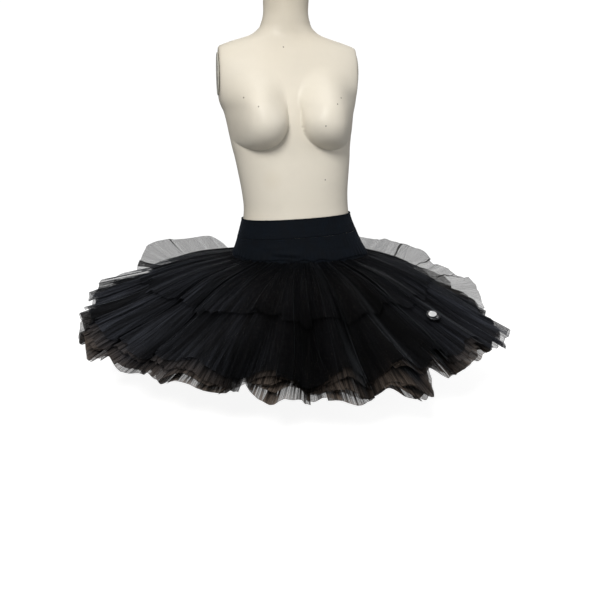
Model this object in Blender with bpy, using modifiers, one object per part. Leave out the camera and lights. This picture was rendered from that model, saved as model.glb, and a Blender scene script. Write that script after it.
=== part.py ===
"""Practice tutu skirt on a limbless dress form, in metres, +Z up.

The form faces -Y and stands on its flat base, whose centre is the origin. A stretch basque with an
elastic waistband grips the form's waist and hips. Seven gathered tiers of stiff net are sewn to a hip
yoke below it, each one a thin wall that runs out and down in radial folds. Heights of the form and of
the garment are given as a rise above the waist, and angles go round from the front towards +X.
"""

import math
from collections import namedtuple

import bmesh
import bpy
import numpy as np
from mathutils import Vector
from mathutils.bvhtree import BVHTree

# Driving sizes
WAIST_HEIGHT = 0.330
FORM_CORNERS = 32
BAND_CORNERS = 48
SEAM_GAP = 0.0003

# The dress form's horizontal sections, bottom to top. Squareness 2 is an ellipse.
FormSection = namedtuple("FormSection", "rise half_width half_depth centre_x centre_y squareness")
FORM_SECTIONS = [
    FormSection(-0.330, 0.1390, 0.1010, 0.000, 0.000, 2.3),
    FormSection(-0.325, 0.1440, 0.1060, 0.000, 0.000, 2.3),
    FormSection(-0.270, 0.1510, 0.1120, 0.000, 0.000, 2.3),
    FormSection(-0.210, 0.1560, 0.1170, 0.000, 0.000, 2.3),
    FormSection(-0.172, 0.1560, 0.1180, 0.000, 0.000, 2.3),
    FormSection(-0.140, 0.1540, 0.1170, 0.000, 0.000, 2.3),
    FormSection(-0.110, 0.1500, 0.1145, 0.000, 0.000, 2.3),
    FormSection(-0.085, 0.1445, 0.1105, 0.000, 0.000, 2.3),
    FormSection(-0.060, 0.1360, 0.1050, -0.002, 0.000, 2.3),
    FormSection(-0.035, 0.1255, 0.0985, -0.004, 0.000, 2.3),
    FormSection(-0.018, 0.1185, 0.0940, -0.006, 0.000, 2.3),
    FormSection(0.000, 0.1130, 0.0905, -0.008, 0.000, 2.3),
    FormSection(0.022, 0.1105, 0.0885, -0.009, 0.000, 2.3),
    FormSection(0.048, 0.1110, 0.0880, -0.011, 0.000, 2.3),
    FormSection(0.098, 0.1165, 0.0895, -0.014, 0.002, 2.3),
    FormSection(0.128, 0.1205, 0.0910, -0.016, 0.004, 2.3),
    FormSection(0.146, 0.1230, 0.0920, -0.018, 0.005, 2.3),
    FormSection(0.163, 0.1255, 0.0930, -0.019, 0.006, 2.3),
    FormSection(0.180, 0.1280, 0.0935, -0.020, 0.007, 2.3),
    FormSection(0.200, 0.1310, 0.0935, -0.021, 0.008, 2.3),
    FormSection(0.222, 0.1360, 0.0930, -0.022, 0.010, 2.3),
    FormSection(0.243, 0.1450, 0.0910, -0.025, 0.012, 2.3),
    FormSection(0.270, 0.1560, 0.0870, -0.025, 0.014, 2.3),
    FormSection(0.300, 0.1590, 0.0800, -0.025, 0.016, 2.3),
    FormSection(0.327, 0.1560, 0.0690, -0.025, 0.018, 2.2),
    FormSection(0.345, 0.1440, 0.0580, -0.025, 0.019, 2.1),
    FormSection(0.357, 0.1130, 0.0520, -0.027, 0.020, 2.0),
    FormSection(0.368, 0.0770, 0.0490, -0.027, 0.020, 2.0),
    FormSection(0.381, 0.0570, 0.0485, -0.027, 0.019, 2.0),
    FormSection(0.398, 0.0485, 0.0490, -0.027, 0.017, 2.0),
    FormSection(0.440, 0.0460, 0.0480, -0.027, 0.012, 2.0),
    FormSection(0.490, 0.0470, 0.0490, -0.027, 0.006, 2.0),
    FormSection(0.500, 0.0435, 0.0455, -0.027, 0.005, 2.0),
]

# A plain tailor's bust: two mounds on the front, round below and soft and wide above. Round and soft are
# the powers that shape the lower and the upper part.
BUST_RISE = 0.198
BUST_CENTRE_X = -0.0035
BUST_SPREAD = 0.0740
BUST_DEPTH = 0.057
BUST_HALF_WIDTH = 0.060
BUST_WIDER_ABOVE = 0.40
BUST_BELOW = 0.054
BUST_ABOVE = 0.115
BUST_ROUND = 0.60
BUST_SOFT = 2.3

# Flat arm ends and the plates on them
ARM_END_X = 0.1410
ARM_END_LOWEST_RISE = 0.230
ARM_PLATE_RISE = 0.293
ARM_PLATE_HEIGHT = 0.084
ARM_PLATE_DEPTH = 0.070
ARM_PLATE_THICKNESS = 0.002

# Waistband, basque and hip yoke
FABRIC_GAP = 0.0008
KNIT_THICKNESS = 0.0014
WAISTBAND_THICKNESS = 0.0024
WAISTBAND_RISE = (0.0045, -0.016, -0.032)
BASQUE_RISE = (-0.0323, -0.052, -0.072)
YOKE_RISE = (-0.0723, -0.085, -0.110, -0.140, -0.156)

# The waist is worn a little askew: how much it rises for each metre towards +X and towards the front
WAIST_TILT = 0.050
WAIST_PITCH = 0.030

# The net tiers, top to bottom. Seam is the rise of the gathered edge on the yoke, reach the hem's mean
# distance from the hem's centre, and drop how far the hem lies above or below the middle of the rim.
NetTier = namedtuple("NetTier", "name seam reach drop deepest_fold radial_steps")
NET_TIERS = [
    NetTier("net_tier_1", -0.0775, 0.314, 0.036, 0.0095, 3),
    NetTier("net_tier_2", -0.0895, 0.425, 0.024, 0.0125, 4),
    NetTier("net_tier_3", -0.1015, 0.450, 0.011, 0.0125, 3),
    NetTier("net_tier_4", -0.1135, 0.462, -0.002, 0.0125, 3),
    NetTier("net_tier_5", -0.1245, 0.460, -0.015, 0.0125, 2),
    NetTier("net_tier_6", -0.1355, 0.444, -0.028, 0.0125, 2),
    NetTier("net_tier_7", -0.1465, 0.405, -0.043, 0.0125, 2),
]
NET_THICKNESS = 0.0012
NET_SEAM_GAP = 0.0009
FOLDS = 26
STEPS_PER_FOLD = 4
FOLD_DRIFT = math.radians(26)
FOLD_AT_SEAM = 0.0014
RIM_REACH = 0.460
RIM_CENTRE_X = -0.010
PROFILE_BEND = 0.30

# The rim all round, as it hangs: its turn from the front in degrees, shares of the upper and the lower
# tiers' reach, the rise of its middle, and a share for how far the tiers fan apart there
RimStation = namedtuple("RimStation", "turn upper_reach lower_reach rise fan")
RIM_STATIONS = [
    RimStation(-180, 1.000, 0.990, -0.175, 0.80),
    RimStation(-150, 1.030, 1.000, -0.184, 0.80),
    RimStation(-120, 1.070, 1.020, -0.176, 1.10),
    RimStation(-90, 1.045, 0.985, -0.195, 1.18),
    RimStation(-60, 1.000, 0.975, -0.214, 1.05),
    RimStation(-30, 0.980, 0.965, -0.223, 1.00),
    RimStation(0, 0.990, 1.000, -0.222, 1.00),
    RimStation(30, 0.970, 0.980, -0.221, 0.95),
    RimStation(60, 0.950, 0.985, -0.228, 0.64),
    RimStation(90, 0.960, 0.980, -0.230, 0.64),
    RimStation(120, 0.970, 0.970, -0.210, 0.72),
    RimStation(150, 1.000, 0.980, -0.182, 0.74),
]

# The largest valleys, which press through every tier: turn and half width in degrees, depth in metres,
# and the shares of the way from seam to rim where each one starts and is deepest. A valley also pulls the
# hem in, by a share of its depth.
Valley = namedtuple("Valley", "turn half_width depth start full")
VALLEYS = [
    Valley(-61, 3.6, 0.010, 0.30, 0.55),
    Valley(-48, 3.8, 0.015, 0.30, 0.80),
    Valley(-23, 3.4, 0.018, 0.45, 0.90),
    Valley(-6, 3.8, 0.016, 0.05, 0.75),
    Valley(8, 3.2, 0.012, 0.40, 0.80),
    Valley(25, 3.6, 0.014, 0.20, 0.70),
    Valley(31, 3.2, 0.010, 0.65, 0.95),
    Valley(57, 3.8, 0.012, 0.30, 0.80),
    Valley(79, 3.4, 0.014, 0.20, 0.90),
    Valley(101, 3.8, 0.012, 0.40, 0.80),
    Valley(124, 3.6, 0.016, 0.10, 0.70),
    Valley(146, 3.4, 0.012, 0.50, 0.90),
    Valley(169, 3.8, 0.017, 0.20, 0.80),
    Valley(188, 3.4, 0.013, 0.35, 0.90),
    Valley(209, 3.6, 0.012, 0.10, 0.60),
    Valley(233, 3.8, 0.015, 0.30, 0.85),
    Valley(256, 3.4, 0.013, 0.20, 0.70),
    Valley(279, 3.6, 0.015, 0.40, 0.90),
]
HEM_PULL = 1.1

# Where the outer quarter of a tier stands up in a high loop at the back: turn and half width in degrees,
# and how high
Loop = namedtuple("Loop", "turn half_width height")
BACK_LOOPS = {
    "net_tier_2": [
        Loop(-146.5, 17.5, 0.064),
        Loop(149, 12, 0.058),
        Loop(127, 12, 0.064),
        Loop(101, 15, 0.040),
    ],
    "net_tier_3": [Loop(120, 20, 0.024)],
}
STONE_TIER = "net_tier_2"

# The stone sewn to the upper net
STONE_TURN = 38.5
STONE_REACH = 0.350
STONE_RADIUS = 0.0125
STONE_TABLE_RADIUS = 0.0075
STONE_HEIGHT = 0.0055
STONE_LIFT = 0.0005
STONE_CORNERS = 16

Finish = namedtuple("Finish", "colour roughness metallic")
FORM_WHITE = Finish((0.78, 0.74, 0.66), 0.38, 0.0)
PLATE_GREY = Finish((0.16, 0.17, 0.18), 0.45, 0.6)
KNIT_BLACK = Finish((0.012, 0.014, 0.018), 0.80, 0.0)
NET_BLACK = Finish((0.010, 0.010, 0.012), 0.65, 0.0)
STONE_CLEAR = Finish((0.85, 0.87, 0.88), 0.08, 0.3)


def clear_scene():
    for thing in list(bpy.data.objects):
        bpy.data.objects.remove(thing)


def new_collection(name):
    group = bpy.data.collections.new(name)
    bpy.context.scene.collection.children.link(group)
    return group


def material(name, finish):
    made = bpy.data.materials.new(name)
    made.use_nodes = True
    shader = made.node_tree.nodes["Principled BSDF"]
    shader.inputs["Base Color"].default_value = (*finish.colour, 1.0)
    shader.inputs["Roughness"].default_value = finish.roughness
    shader.inputs["Metallic"].default_value = finish.metallic
    return made


def through(knots, values, at):
    """A smooth curve through the knots: cubics whose slope at each knot comes from its neighbours."""
    knots = np.asarray(knots, float)
    values = np.asarray(values, float)
    slopes = np.gradient(values, knots)
    cell = np.clip(np.searchsorted(knots, at, side="right") - 1, 0, len(knots) - 2)
    width = knots[cell + 1] - knots[cell]
    share = np.clip((at - knots[cell]) / width, 0.0, 1.0)
    ahead = 1.0 - share
    return (
        values[cell] * ahead**2 * (1 + 2 * share)
        + values[cell + 1] * share**2 * (1 + 2 * ahead)
        + width * (slopes[cell] * share * ahead**2 - slopes[cell + 1] * ahead * share**2)
    )


def section(rise, column):
    """One column of the form's table at any rise."""
    knots = [row.rise for row in FORM_SECTIONS]
    return through(knots, [getattr(row, column) for row in FORM_SECTIONS], rise)


def ease(share):
    """An S-shaped ramp from 0 to 1."""
    share = np.clip(share, 0.0, 1.0)
    return share**2 * (3 - 2 * share)


def bust(across, rise, angle):
    """How far the bust stands forward of the section at a point."""
    up = (rise - BUST_RISE) / np.where(rise < BUST_RISE, BUST_BELOW, BUST_ABOVE)
    power = BUST_ROUND + (BUST_SOFT - BUST_ROUND) * ease(up / 0.75)
    half_width = BUST_HALF_WIDTH * (1 + BUST_WIDER_ABOVE * ease(up))
    mounds = np.zeros_like(across)
    for side in (-1, 1):
        from_middle = (across - BUST_CENTRE_X - side * BUST_SPREAD) / half_width
        mounds = mounds + np.clip(1 - from_middle**2 - up**2, 0.0, 1.0) ** power
    facing_front = ease(1.5 * np.cos(angle))
    return BUST_DEPTH * mounds * facing_front


def form_points(rise, angle, outside=0.0):
    """Points of the form's surface, moved out by a distance.

    Each section is a superellipse, to which the bust and the flat arm ends are added.
    """
    half_width = section(rise, "half_width") + outside
    half_depth = section(rise, "half_depth") + outside
    power = section(rise, "squareness")
    reach = (
        (np.abs(np.sin(angle)) / half_width) ** power + (np.abs(np.cos(angle)) / half_depth) ** power
    ) ** (-1 / power)
    across = reach * np.sin(angle)
    has_arm_end = rise > ARM_END_LOWEST_RISE
    across = np.where(has_arm_end, np.clip(across, -ARM_END_X, ARM_END_X), across)
    forward = reach * np.cos(angle) + bust(across, rise, angle)
    x = section(rise, "centre_x") + across
    y = section(rise, "centre_y") - forward
    return np.stack([x, y, WAIST_HEIGHT + rise], axis=-1)


def grid_object(name, rows, closed_round, capped, finish_material, group):
    """A mesh of quads on rows of points, closed round each row and capped at its ends where asked."""
    shape = bmesh.new()
    made = [[shape.verts.new(point) for point in row] for row in rows]
    corners = len(made[0])
    last = corners if closed_round else corners - 1
    for low, high in zip(made, made[1:]):
        for i in range(last):
            j = (i + 1) % corners
            shape.faces.new((low[i], low[j], high[j], high[i]))
    if capped:
        shape.faces.new(list(reversed(made[0])))
        shape.faces.new(made[-1])
    mesh = bpy.data.meshes.new(name)
    shape.to_mesh(mesh)
    shape.free()
    mesh.materials.append(finish_material)
    thing = bpy.data.objects.new(name, mesh)
    group.objects.link(thing)
    return thing


def thicken(thing, thickness, side):
    """A wall from the open surface: side 1 grows outwards, 0 both ways and -1 inwards."""
    wall = thing.modifiers.new("wall", "SOLIDIFY")
    wall.thickness = thickness
    wall.offset = side
    wall.use_even_offset = False


def shade_round(thing, crease_degrees):
    thing.data.shade_smooth()
    thing.data.set_sharp_from_angle(angle=math.radians(crease_degrees))


def round_angles(corners):
    return np.arange(corners) * math.tau / corners


def build_form(group, finish_material):
    angles = round_angles(FORM_CORNERS)
    rows = [form_points(np.full(FORM_CORNERS, row.rise), angles) for row in FORM_SECTIONS]
    form = grid_object("form", rows, True, True, finish_material, group)
    shade_round(form, 50)


def build_arm_plates(group, finish_material):
    """A thin oval plate on each flat arm end."""
    for side, name in ((-1, "arm_plate_right"), (1, "arm_plate_left")):
        shape = bmesh.new()
        bmesh.ops.create_cone(
            shape, cap_ends=True, segments=20, radius1=0.5, radius2=0.5, depth=ARM_PLATE_THICKNESS
        )
        mesh = bpy.data.meshes.new(name)
        shape.to_mesh(mesh)
        shape.free()
        for corner in mesh.vertices:
            along_x, along_y, along_z = corner.co
            corner.co = (along_z * side, along_y * ARM_PLATE_DEPTH, -along_x * side * ARM_PLATE_HEIGHT)
        mesh.materials.append(finish_material)
        plate = bpy.data.objects.new(name, mesh)
        centre_x = float(section(ARM_PLATE_RISE, "centre_x"))
        centre_y = float(section(ARM_PLATE_RISE, "centre_y"))
        stand_off = ARM_END_X + SEAM_GAP + ARM_PLATE_THICKNESS / 2
        plate.location = (centre_x + side * stand_off, centre_y, WAIST_HEIGHT + ARM_PLATE_RISE)
        group.objects.link(plate)


def worn_points(rise, angles):
    """A row of the garment on the form. The waist's tilt fades out down to the basque's lower edge."""
    share = min(1.0, (rise - BASQUE_RISE[-1]) / (BASQUE_RISE[0] - BASQUE_RISE[-1]))
    level = form_points(np.full(len(angles), rise), angles)
    tilted = rise + share * (WAIST_TILT * level[:, 0] - WAIST_PITCH * level[:, 1])
    return form_points(tilted, angles, FABRIC_GAP)


def build_waistband(group, finish_material):
    """The elastic casing, whose top edge is worn a little higher on the wearer's left."""
    angles = round_angles(BAND_CORNERS)
    rows = [worn_points(rise, angles) for rise in reversed(WAISTBAND_RISE)]
    band = grid_object("waistband", rows, True, False, finish_material, group)
    thicken(band, WAISTBAND_THICKNESS, 1)
    shade_round(band, 40)


def build_basque(group, finish_material):
    """The front and back of the fitted basque, which meet at the side seams."""
    seam_angle = SEAM_GAP / 2 / float(section(BASQUE_RISE[-1], "half_width"))
    halves = (("basque_front", -0.5 * math.pi), ("basque_back", 0.5 * math.pi))
    for name, start in halves:
        angles = np.linspace(start + seam_angle, start + math.pi - seam_angle, BAND_CORNERS // 2 + 1)
        rows = [worn_points(rise, angles) for rise in reversed(BASQUE_RISE)]
        panel = grid_object(name, rows, False, False, finish_material, group)
        thicken(panel, KNIT_THICKNESS, 1)
        shade_round(panel, 40)


def build_yoke(group, finish_material):
    angles = round_angles(BAND_CORNERS)
    rows = [form_points(np.full(BAND_CORNERS, rise), angles, FABRIC_GAP) for rise in reversed(YOKE_RISE)]
    yoke = grid_object("hip_yoke", rows, True, False, finish_material, group)
    thicken(yoke, KNIT_THICKNESS, 1)
    shade_round(yoke, 40)


def place_angle(cloth_angle):
    """Where a point of the gathered edge lies round the form: folds are bunched here and spread there."""
    bunched = 0.050 * np.sin(3 * cloth_angle + 0.7) + 0.028 * np.sin(7 * cloth_angle + 2.1)
    return cloth_angle + bunched + 0.012 * np.sin(11 * cloth_angle + 4.0)


def round_rim(angle, column):
    """One column of the rim's table at any angle, smooth all the way round."""
    turns = [row.turn for row in RIM_STATIONS]
    values = [getattr(row, column) for row in RIM_STATIONS]
    knots = [turn + turns_round for turns_round in (-360, 0, 360) for turn in turns]
    return through(knots, values * 3, (np.degrees(angle) + 180) % 360 - 180)


def turn_away(angle, turn):
    """How far an angle lies from a turn, in degrees, the short way round."""
    return (np.degrees(angle) - turn + 180) % 360 - 180


def hem_wander(angle, index):
    """How far a tier's hem wanders in and out, as a share of its reach."""
    return (
        0.013 * np.sin(5 * angle + 1.9 * index)
        + 0.010 * np.sin(9 * angle + 2.7 * index + 1.0)
        + 0.008 * np.sin(14 * angle + 0.8 * index)
    )


def valleys(angle, share):
    """How deep the largest valleys are at each angle, for each share of the way to the rim."""
    total = np.zeros_like(angle)
    for valley in VALLEYS:
        ramp = ease((share - valley.start) / (valley.full - valley.start))
        across = np.exp(-0.5 * (turn_away(angle, valley.turn) / valley.half_width) ** 2)
        total = total + valley.depth * across * ramp
    return total


def back_loops(tier_name, angle):
    """How high the tier's loops stand at each angle, each a flat-topped bell of the turn."""
    total = np.zeros_like(angle)
    for loop in BACK_LOOPS.get(tier_name, []):
        total = total + loop.height * np.exp(-((turn_away(angle, loop.turn) / loop.half_width) ** 6))
    return total


def net_points(tier, index, cloth_angle, out):
    """A row of a tier's surface. Out runs from 0 at the gathered edge to 1 at the hem.

    A column is a straight line seen from above. Its height falls from the seam to the rim, with folds
    that deepen outwards. All tiers share one way of falling, so that they lie one above the other, and
    each tier's folds are turned a little from the last.
    """
    angle = place_angle(cloth_angle)
    off_form = FABRIC_GAP + KNIT_THICKNESS + NET_SEAM_GAP
    seam = form_points(np.full_like(angle, tier.seam), angle, off_form)
    direction = np.stack([np.sin(angle), -np.cos(angle)], axis=-1)
    centre = np.array([RIM_CENTRE_X, 0.0])
    lower = index / (len(NET_TIERS) - 1)
    reach_share = (1 - lower) * round_rim(angle, "upper_reach") + lower * round_rim(angle, "lower_reach")
    pulled_in = HEM_PULL * valleys(angle, np.ones_like(angle))
    reach = tier.reach * (reach_share + hem_wander(angle, index)) - pulled_in
    to_hem = centre + reach[:, None] * direction - seam[:, :2]
    to_rim = centre + RIM_REACH * direction - seam[:, :2]
    level = seam[:, :2] + out * to_hem
    share = out * np.linalg.norm(to_hem, axis=1) / np.linalg.norm(to_rim, axis=1)
    fall = (1 - PROFILE_BEND) * share + PROFILE_BEND * share**2
    uneven = 0.78 + 0.22 * np.sin(4 * cloth_angle + 0.5)
    depth = FOLD_AT_SEAM + (tier.deepest_fold - FOLD_AT_SEAM) * share
    folds = depth * uneven * np.cos(FOLDS * cloth_angle + index * FOLD_DRIFT)
    hem_rise = round_rim(angle, "rise") + tier.drop * round_rim(angle, "fan")
    rise = tier.seam + (hem_rise - tier.seam) * fall + folds - valleys(angle, share)
    rise = rise + back_loops(tier.name, angle) * max(0.0, 4 * out - 3)
    return np.column_stack([level, WAIST_HEIGHT + rise])


def build_net_tiers(group, finish_material):
    """Each tier as a wall whose columns stand on the crests, flanks and hollows of its folds."""
    steps = np.arange(FOLDS * STEPS_PER_FOLD)
    tiers = {}
    for index, tier in enumerate(NET_TIERS):
        cloth_angle = (steps * math.tau / STEPS_PER_FOLD - index * FOLD_DRIFT) / FOLDS
        outs = np.linspace(1.0, 0.0, tier.radial_steps + 1)
        rows = [net_points(tier, index, cloth_angle, out) for out in outs]
        net = grid_object(tier.name, rows, True, False, finish_material, group)
        thicken(net, NET_THICKNESS, 0)
        shade_round(net, 60)
        tiers[tier.name] = net
    return tiers


def build_stone(group, finish_material, net):
    """A faceted flat-backed stone on the net's crests, set along the mean slope of the cloth below it."""
    cloth = BVHTree.FromObject(net, bpy.context.evaluated_depsgraph_get())
    angle = math.radians(STONE_TURN)
    centre = np.array([RIM_CENTRE_X + STONE_REACH * math.sin(angle), -STONE_REACH * math.cos(angle)])
    spread = np.linspace(-1.1, 1.1, 9) * STONE_RADIUS
    spots = np.array([(x, y) for x in spread for y in spread])
    above = 2 * WAIST_HEIGHT
    down = Vector((0.0, 0.0, -1.0))
    heights = np.array([cloth.ray_cast(Vector((*(centre + spot), above)), down)[0].z for spot in spots])
    plane = np.column_stack([spots, np.ones(len(spots))])
    slope_x, slope_y, _ = np.linalg.lstsq(plane, heights, rcond=None)[0]
    normal = Vector((-slope_x, -slope_y, 1.0)).normalized()
    highest = np.max(heights - spots @ (slope_x, slope_y))
    back = Vector((*centre, highest)) + normal * STONE_LIFT
    shape = bmesh.new()
    bmesh.ops.create_cone(
        shape,
        cap_ends=True,
        segments=STONE_CORNERS,
        radius1=STONE_RADIUS,
        radius2=STONE_TABLE_RADIUS,
        depth=STONE_HEIGHT,
    )
    mesh = bpy.data.meshes.new("stone")
    shape.to_mesh(mesh)
    shape.free()
    mesh.materials.append(finish_material)
    stone = bpy.data.objects.new("stone", mesh)
    stone.rotation_mode = "QUATERNION"
    stone.rotation_quaternion = normal.to_track_quat("Z", "Y")
    stone.location = back + normal * (STONE_HEIGHT / 2)
    group.objects.link(stone)


def main():
    clear_scene()
    group = new_collection("tutu_on_form")
    knit = material("knit", KNIT_BLACK)
    net = material("net", NET_BLACK)
    build_form(group, material("form", FORM_WHITE))
    build_arm_plates(group, material("arm_plate", PLATE_GREY))
    build_waistband(group, knit)
    build_basque(group, knit)
    build_yoke(group, knit)
    tiers = build_net_tiers(group, net)
    bpy.context.view_layer.update()
    build_stone(group, material("stone", STONE_CLEAR), tiers[STONE_TIER])


main()
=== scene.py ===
"""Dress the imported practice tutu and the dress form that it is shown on.

Lengths are in metres. The form faces -Y and a turn of 0 degrees is its front; turns grow towards +X,
the wearer's left. A rise is a height above the waist. Every piece is a grid of points worked out as
whole arrays, from the same sections, tiers, rim and valleys as the frame's solids, only finer.
"""

import math
from collections import namedtuple

import bpy
import numpy as np
from bpy.props import FloatProperty, FloatVectorProperty, IntProperty, PointerProperty
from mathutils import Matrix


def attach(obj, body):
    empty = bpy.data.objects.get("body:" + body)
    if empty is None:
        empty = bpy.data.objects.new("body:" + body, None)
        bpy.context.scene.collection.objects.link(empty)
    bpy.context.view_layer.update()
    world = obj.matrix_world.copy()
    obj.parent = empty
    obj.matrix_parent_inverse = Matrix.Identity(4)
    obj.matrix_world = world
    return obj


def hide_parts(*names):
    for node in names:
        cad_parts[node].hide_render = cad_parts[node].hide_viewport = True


bl_info = {
    "name": "Practice tutu on a dress form",
    "version": (1, 0, 0),
    "blender": (4, 5, 0),
    "location": "3D View > Sidebar > Tutu",
    "description": "Builds the net, knit, stone and display form of a practice tutu around its packed frame",
    "category": "Object",
}

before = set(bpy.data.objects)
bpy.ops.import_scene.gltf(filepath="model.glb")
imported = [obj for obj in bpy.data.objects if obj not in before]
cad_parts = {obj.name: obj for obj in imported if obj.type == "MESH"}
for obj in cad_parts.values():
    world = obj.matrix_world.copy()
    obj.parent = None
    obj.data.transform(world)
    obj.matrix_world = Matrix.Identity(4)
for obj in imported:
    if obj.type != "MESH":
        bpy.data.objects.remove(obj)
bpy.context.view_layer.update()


def table(kind, rows):
    """Names the columns of a table's rows."""
    return [kind(*row) for row in rows]


# The form, the garment and the rim, as the frame's solids have them
WAIST_HEIGHT = 0.330
FormSection = namedtuple("FormSection", "rise half_width half_depth centre_x centre_y squareness")
FORM_SECTIONS = table(FormSection, (
    (-0.330, 0.1390, 0.1010, 0.000, 0.000, 2.3),
    (-0.325, 0.1440, 0.1060, 0.000, 0.000, 2.3),
    (-0.270, 0.1510, 0.1120, 0.000, 0.000, 2.3),
    (-0.210, 0.1560, 0.1170, 0.000, 0.000, 2.3),
    (-0.172, 0.1560, 0.1180, 0.000, 0.000, 2.3),
    (-0.140, 0.1540, 0.1170, 0.000, 0.000, 2.3),
    (-0.110, 0.1500, 0.1145, 0.000, 0.000, 2.3),
    (-0.085, 0.1445, 0.1105, 0.000, 0.000, 2.3),
    (-0.060, 0.1360, 0.1050, -0.002, 0.000, 2.3),
    (-0.035, 0.1255, 0.0985, -0.004, 0.000, 2.3),
    (-0.018, 0.1185, 0.0940, -0.006, 0.000, 2.3),
    (0.000, 0.1130, 0.0905, -0.008, 0.000, 2.3),
    (0.022, 0.1105, 0.0885, -0.009, 0.000, 2.3),
    (0.048, 0.1110, 0.0880, -0.011, 0.000, 2.3),
    (0.098, 0.1165, 0.0895, -0.014, 0.002, 2.3),
    (0.128, 0.1205, 0.0910, -0.016, 0.004, 2.3),
    (0.146, 0.1230, 0.0920, -0.018, 0.005, 2.3),
    (0.163, 0.1255, 0.0930, -0.019, 0.006, 2.3),
    (0.180, 0.1280, 0.0935, -0.020, 0.007, 2.3),
    (0.200, 0.1310, 0.0935, -0.021, 0.008, 2.3),
    (0.222, 0.1360, 0.0930, -0.022, 0.010, 2.3),
    (0.243, 0.1450, 0.0910, -0.025, 0.012, 2.3),
    (0.270, 0.1560, 0.0870, -0.025, 0.014, 2.3),
    (0.300, 0.1590, 0.0800, -0.025, 0.016, 2.3),
    (0.327, 0.1560, 0.0690, -0.025, 0.018, 2.2),
    (0.345, 0.1440, 0.0580, -0.025, 0.019, 2.1),
    (0.357, 0.1130, 0.0520, -0.027, 0.020, 2.0),
    (0.368, 0.0770, 0.0490, -0.027, 0.020, 2.0),
    (0.381, 0.0570, 0.0485, -0.027, 0.019, 2.0),
    (0.398, 0.0485, 0.0490, -0.027, 0.017, 2.0),
    (0.440, 0.0460, 0.0480, -0.027, 0.012, 2.0),
    (0.490, 0.0470, 0.0490, -0.027, 0.006, 2.0),
    (0.500, 0.0435, 0.0455, -0.027, 0.005, 2.0),
))
BUST_RISE, BUST_CENTRE_X, BUST_SPREAD, BUST_DEPTH = 0.198, -0.0035, 0.0740, 0.057
BUST_HALF_WIDTH, BUST_WIDER_ABOVE, BUST_BELOW, BUST_ABOVE = 0.060, 0.40, 0.054, 0.115
BUST_ROUND, BUST_SOFT = 0.60, 2.3
ARM_END_X, ARM_END_LOWEST_RISE = 0.1410, 0.230
ARM_PLATE_RISE, ARM_PLATE_HEIGHT, ARM_PLATE_DEPTH = 0.293, 0.084, 0.070
SEAM_GAP, FABRIC_GAP, KNIT_THICKNESS, WAISTBAND_THICKNESS = 0.0003, 0.0008, 0.0014, 0.0024
WAISTBAND_RISE = (0.0045, -0.0322)
BASQUE_RISE = (-0.0323, -0.072)
YOKE_RISE = (-0.0723, -0.156)
WAIST_TILT, WAIST_PITCH = 0.050, 0.030

NetTier = namedtuple("NetTier", "node seam reach drop deepest_fold")
NET_TIERS = table(NetTier, (
    ("net_tier_1", -0.0775, 0.314, 0.036, 0.0095),
    ("net_tier_2", -0.0895, 0.425, 0.024, 0.0125),
    ("net_tier_3", -0.1015, 0.450, 0.011, 0.0125),
    ("net_tier_4", -0.1135, 0.462, -0.002, 0.0125),
    ("net_tier_5", -0.1245, 0.460, -0.015, 0.0125),
    ("net_tier_6", -0.1355, 0.444, -0.028, 0.0125),
    ("net_tier_7", -0.1465, 0.405, -0.043, 0.0125),
))
NET_SEAM_GAP = 0.0009

# How each tier's net lies: tiers with one number share where their pleats fall, and from 2 on their hems
# flow; then its folds' place, how far it sinks onto the next tier and is let out at the front, how far it
# is trimmed all round, how far its panels' hems differ and how many more pleats it has
NetLay = namedtuple("NetLay", "pleats_of fold_place settle front_extra trim panel_hem more_pleats")
NET_LAYS = table(NetLay, (
    (1, 1.0, 0.0180, 0.000, 0.000, 0.012, 0),
    (1, 1.0, 0.0130, 0.020, -0.006, 0.009, 0),
    (1, 1.4, 0.0070, 0.012, -0.010, 0.006, 0),
    (5, 2.6, 0.0025, 0.000, -0.006, 0.005, 14),
    (2, 4.0, 0.0000, -0.008, -0.010, 0.005, 14),
    (3, 5.0, -0.0015, 0.004, -0.004, 0.005, 14),
    (4, 6.0, -0.0060, -0.004, -0.010, 0.006, 0),
))
# Panels of net whose hems stand out past their neighbours or fall short of them: from which tier to
# which, between which turns, and by how much. A flap's sides are cut straight on tiers 1 to 3, whose
# hems are pieced, and run over into their neighbours on the others, whose hems flow
Flap = namedtuple("Flap", "first last turn_a turn_b extra")
FLAPS = table(Flap, (
    (2, 2, -112, -102, 0.010),
    (3, 7, -114, -86, -0.028),
    (3, 4, -84, -70, 0.004),
    (4, 6, -82, -66, 0.012),
    (3, 3, -27, -21, -0.018),
    (4, 7, -25.5, -21.0, -0.034),
    (4, 6, -18, -12, 0.012),
    (3, 6, -13, -6, -0.018),
    (4, 6, -2, 11, 0.010),
    (4, 6, 12, 22, 0.026),
    (3, 7, 24.5, 31, -0.036),
    (3, 6, 33, 38, 0.004),
    (3, 7, 39, 49, -0.016),
    (2, 2, 50, 62, 0.036),
    (3, 3, 50, 64, -0.002),
    (2, 5, 66, 80, -0.018),
    (3, 7, 84, 128, -0.022),
    (2, 2, 82, 100, 0.006),
    (2, 2, -101, -88, -0.014),
    (3, 7, -128, -98, -0.024),
))
FOLDS, FOLD_DRIFT, FOLD_AT_SEAM = 26, math.radians(26), 0.0014
RIM_REACH, RIM_CENTRE_X, PROFILE_BEND = 0.460, -0.010, 0.30

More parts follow.
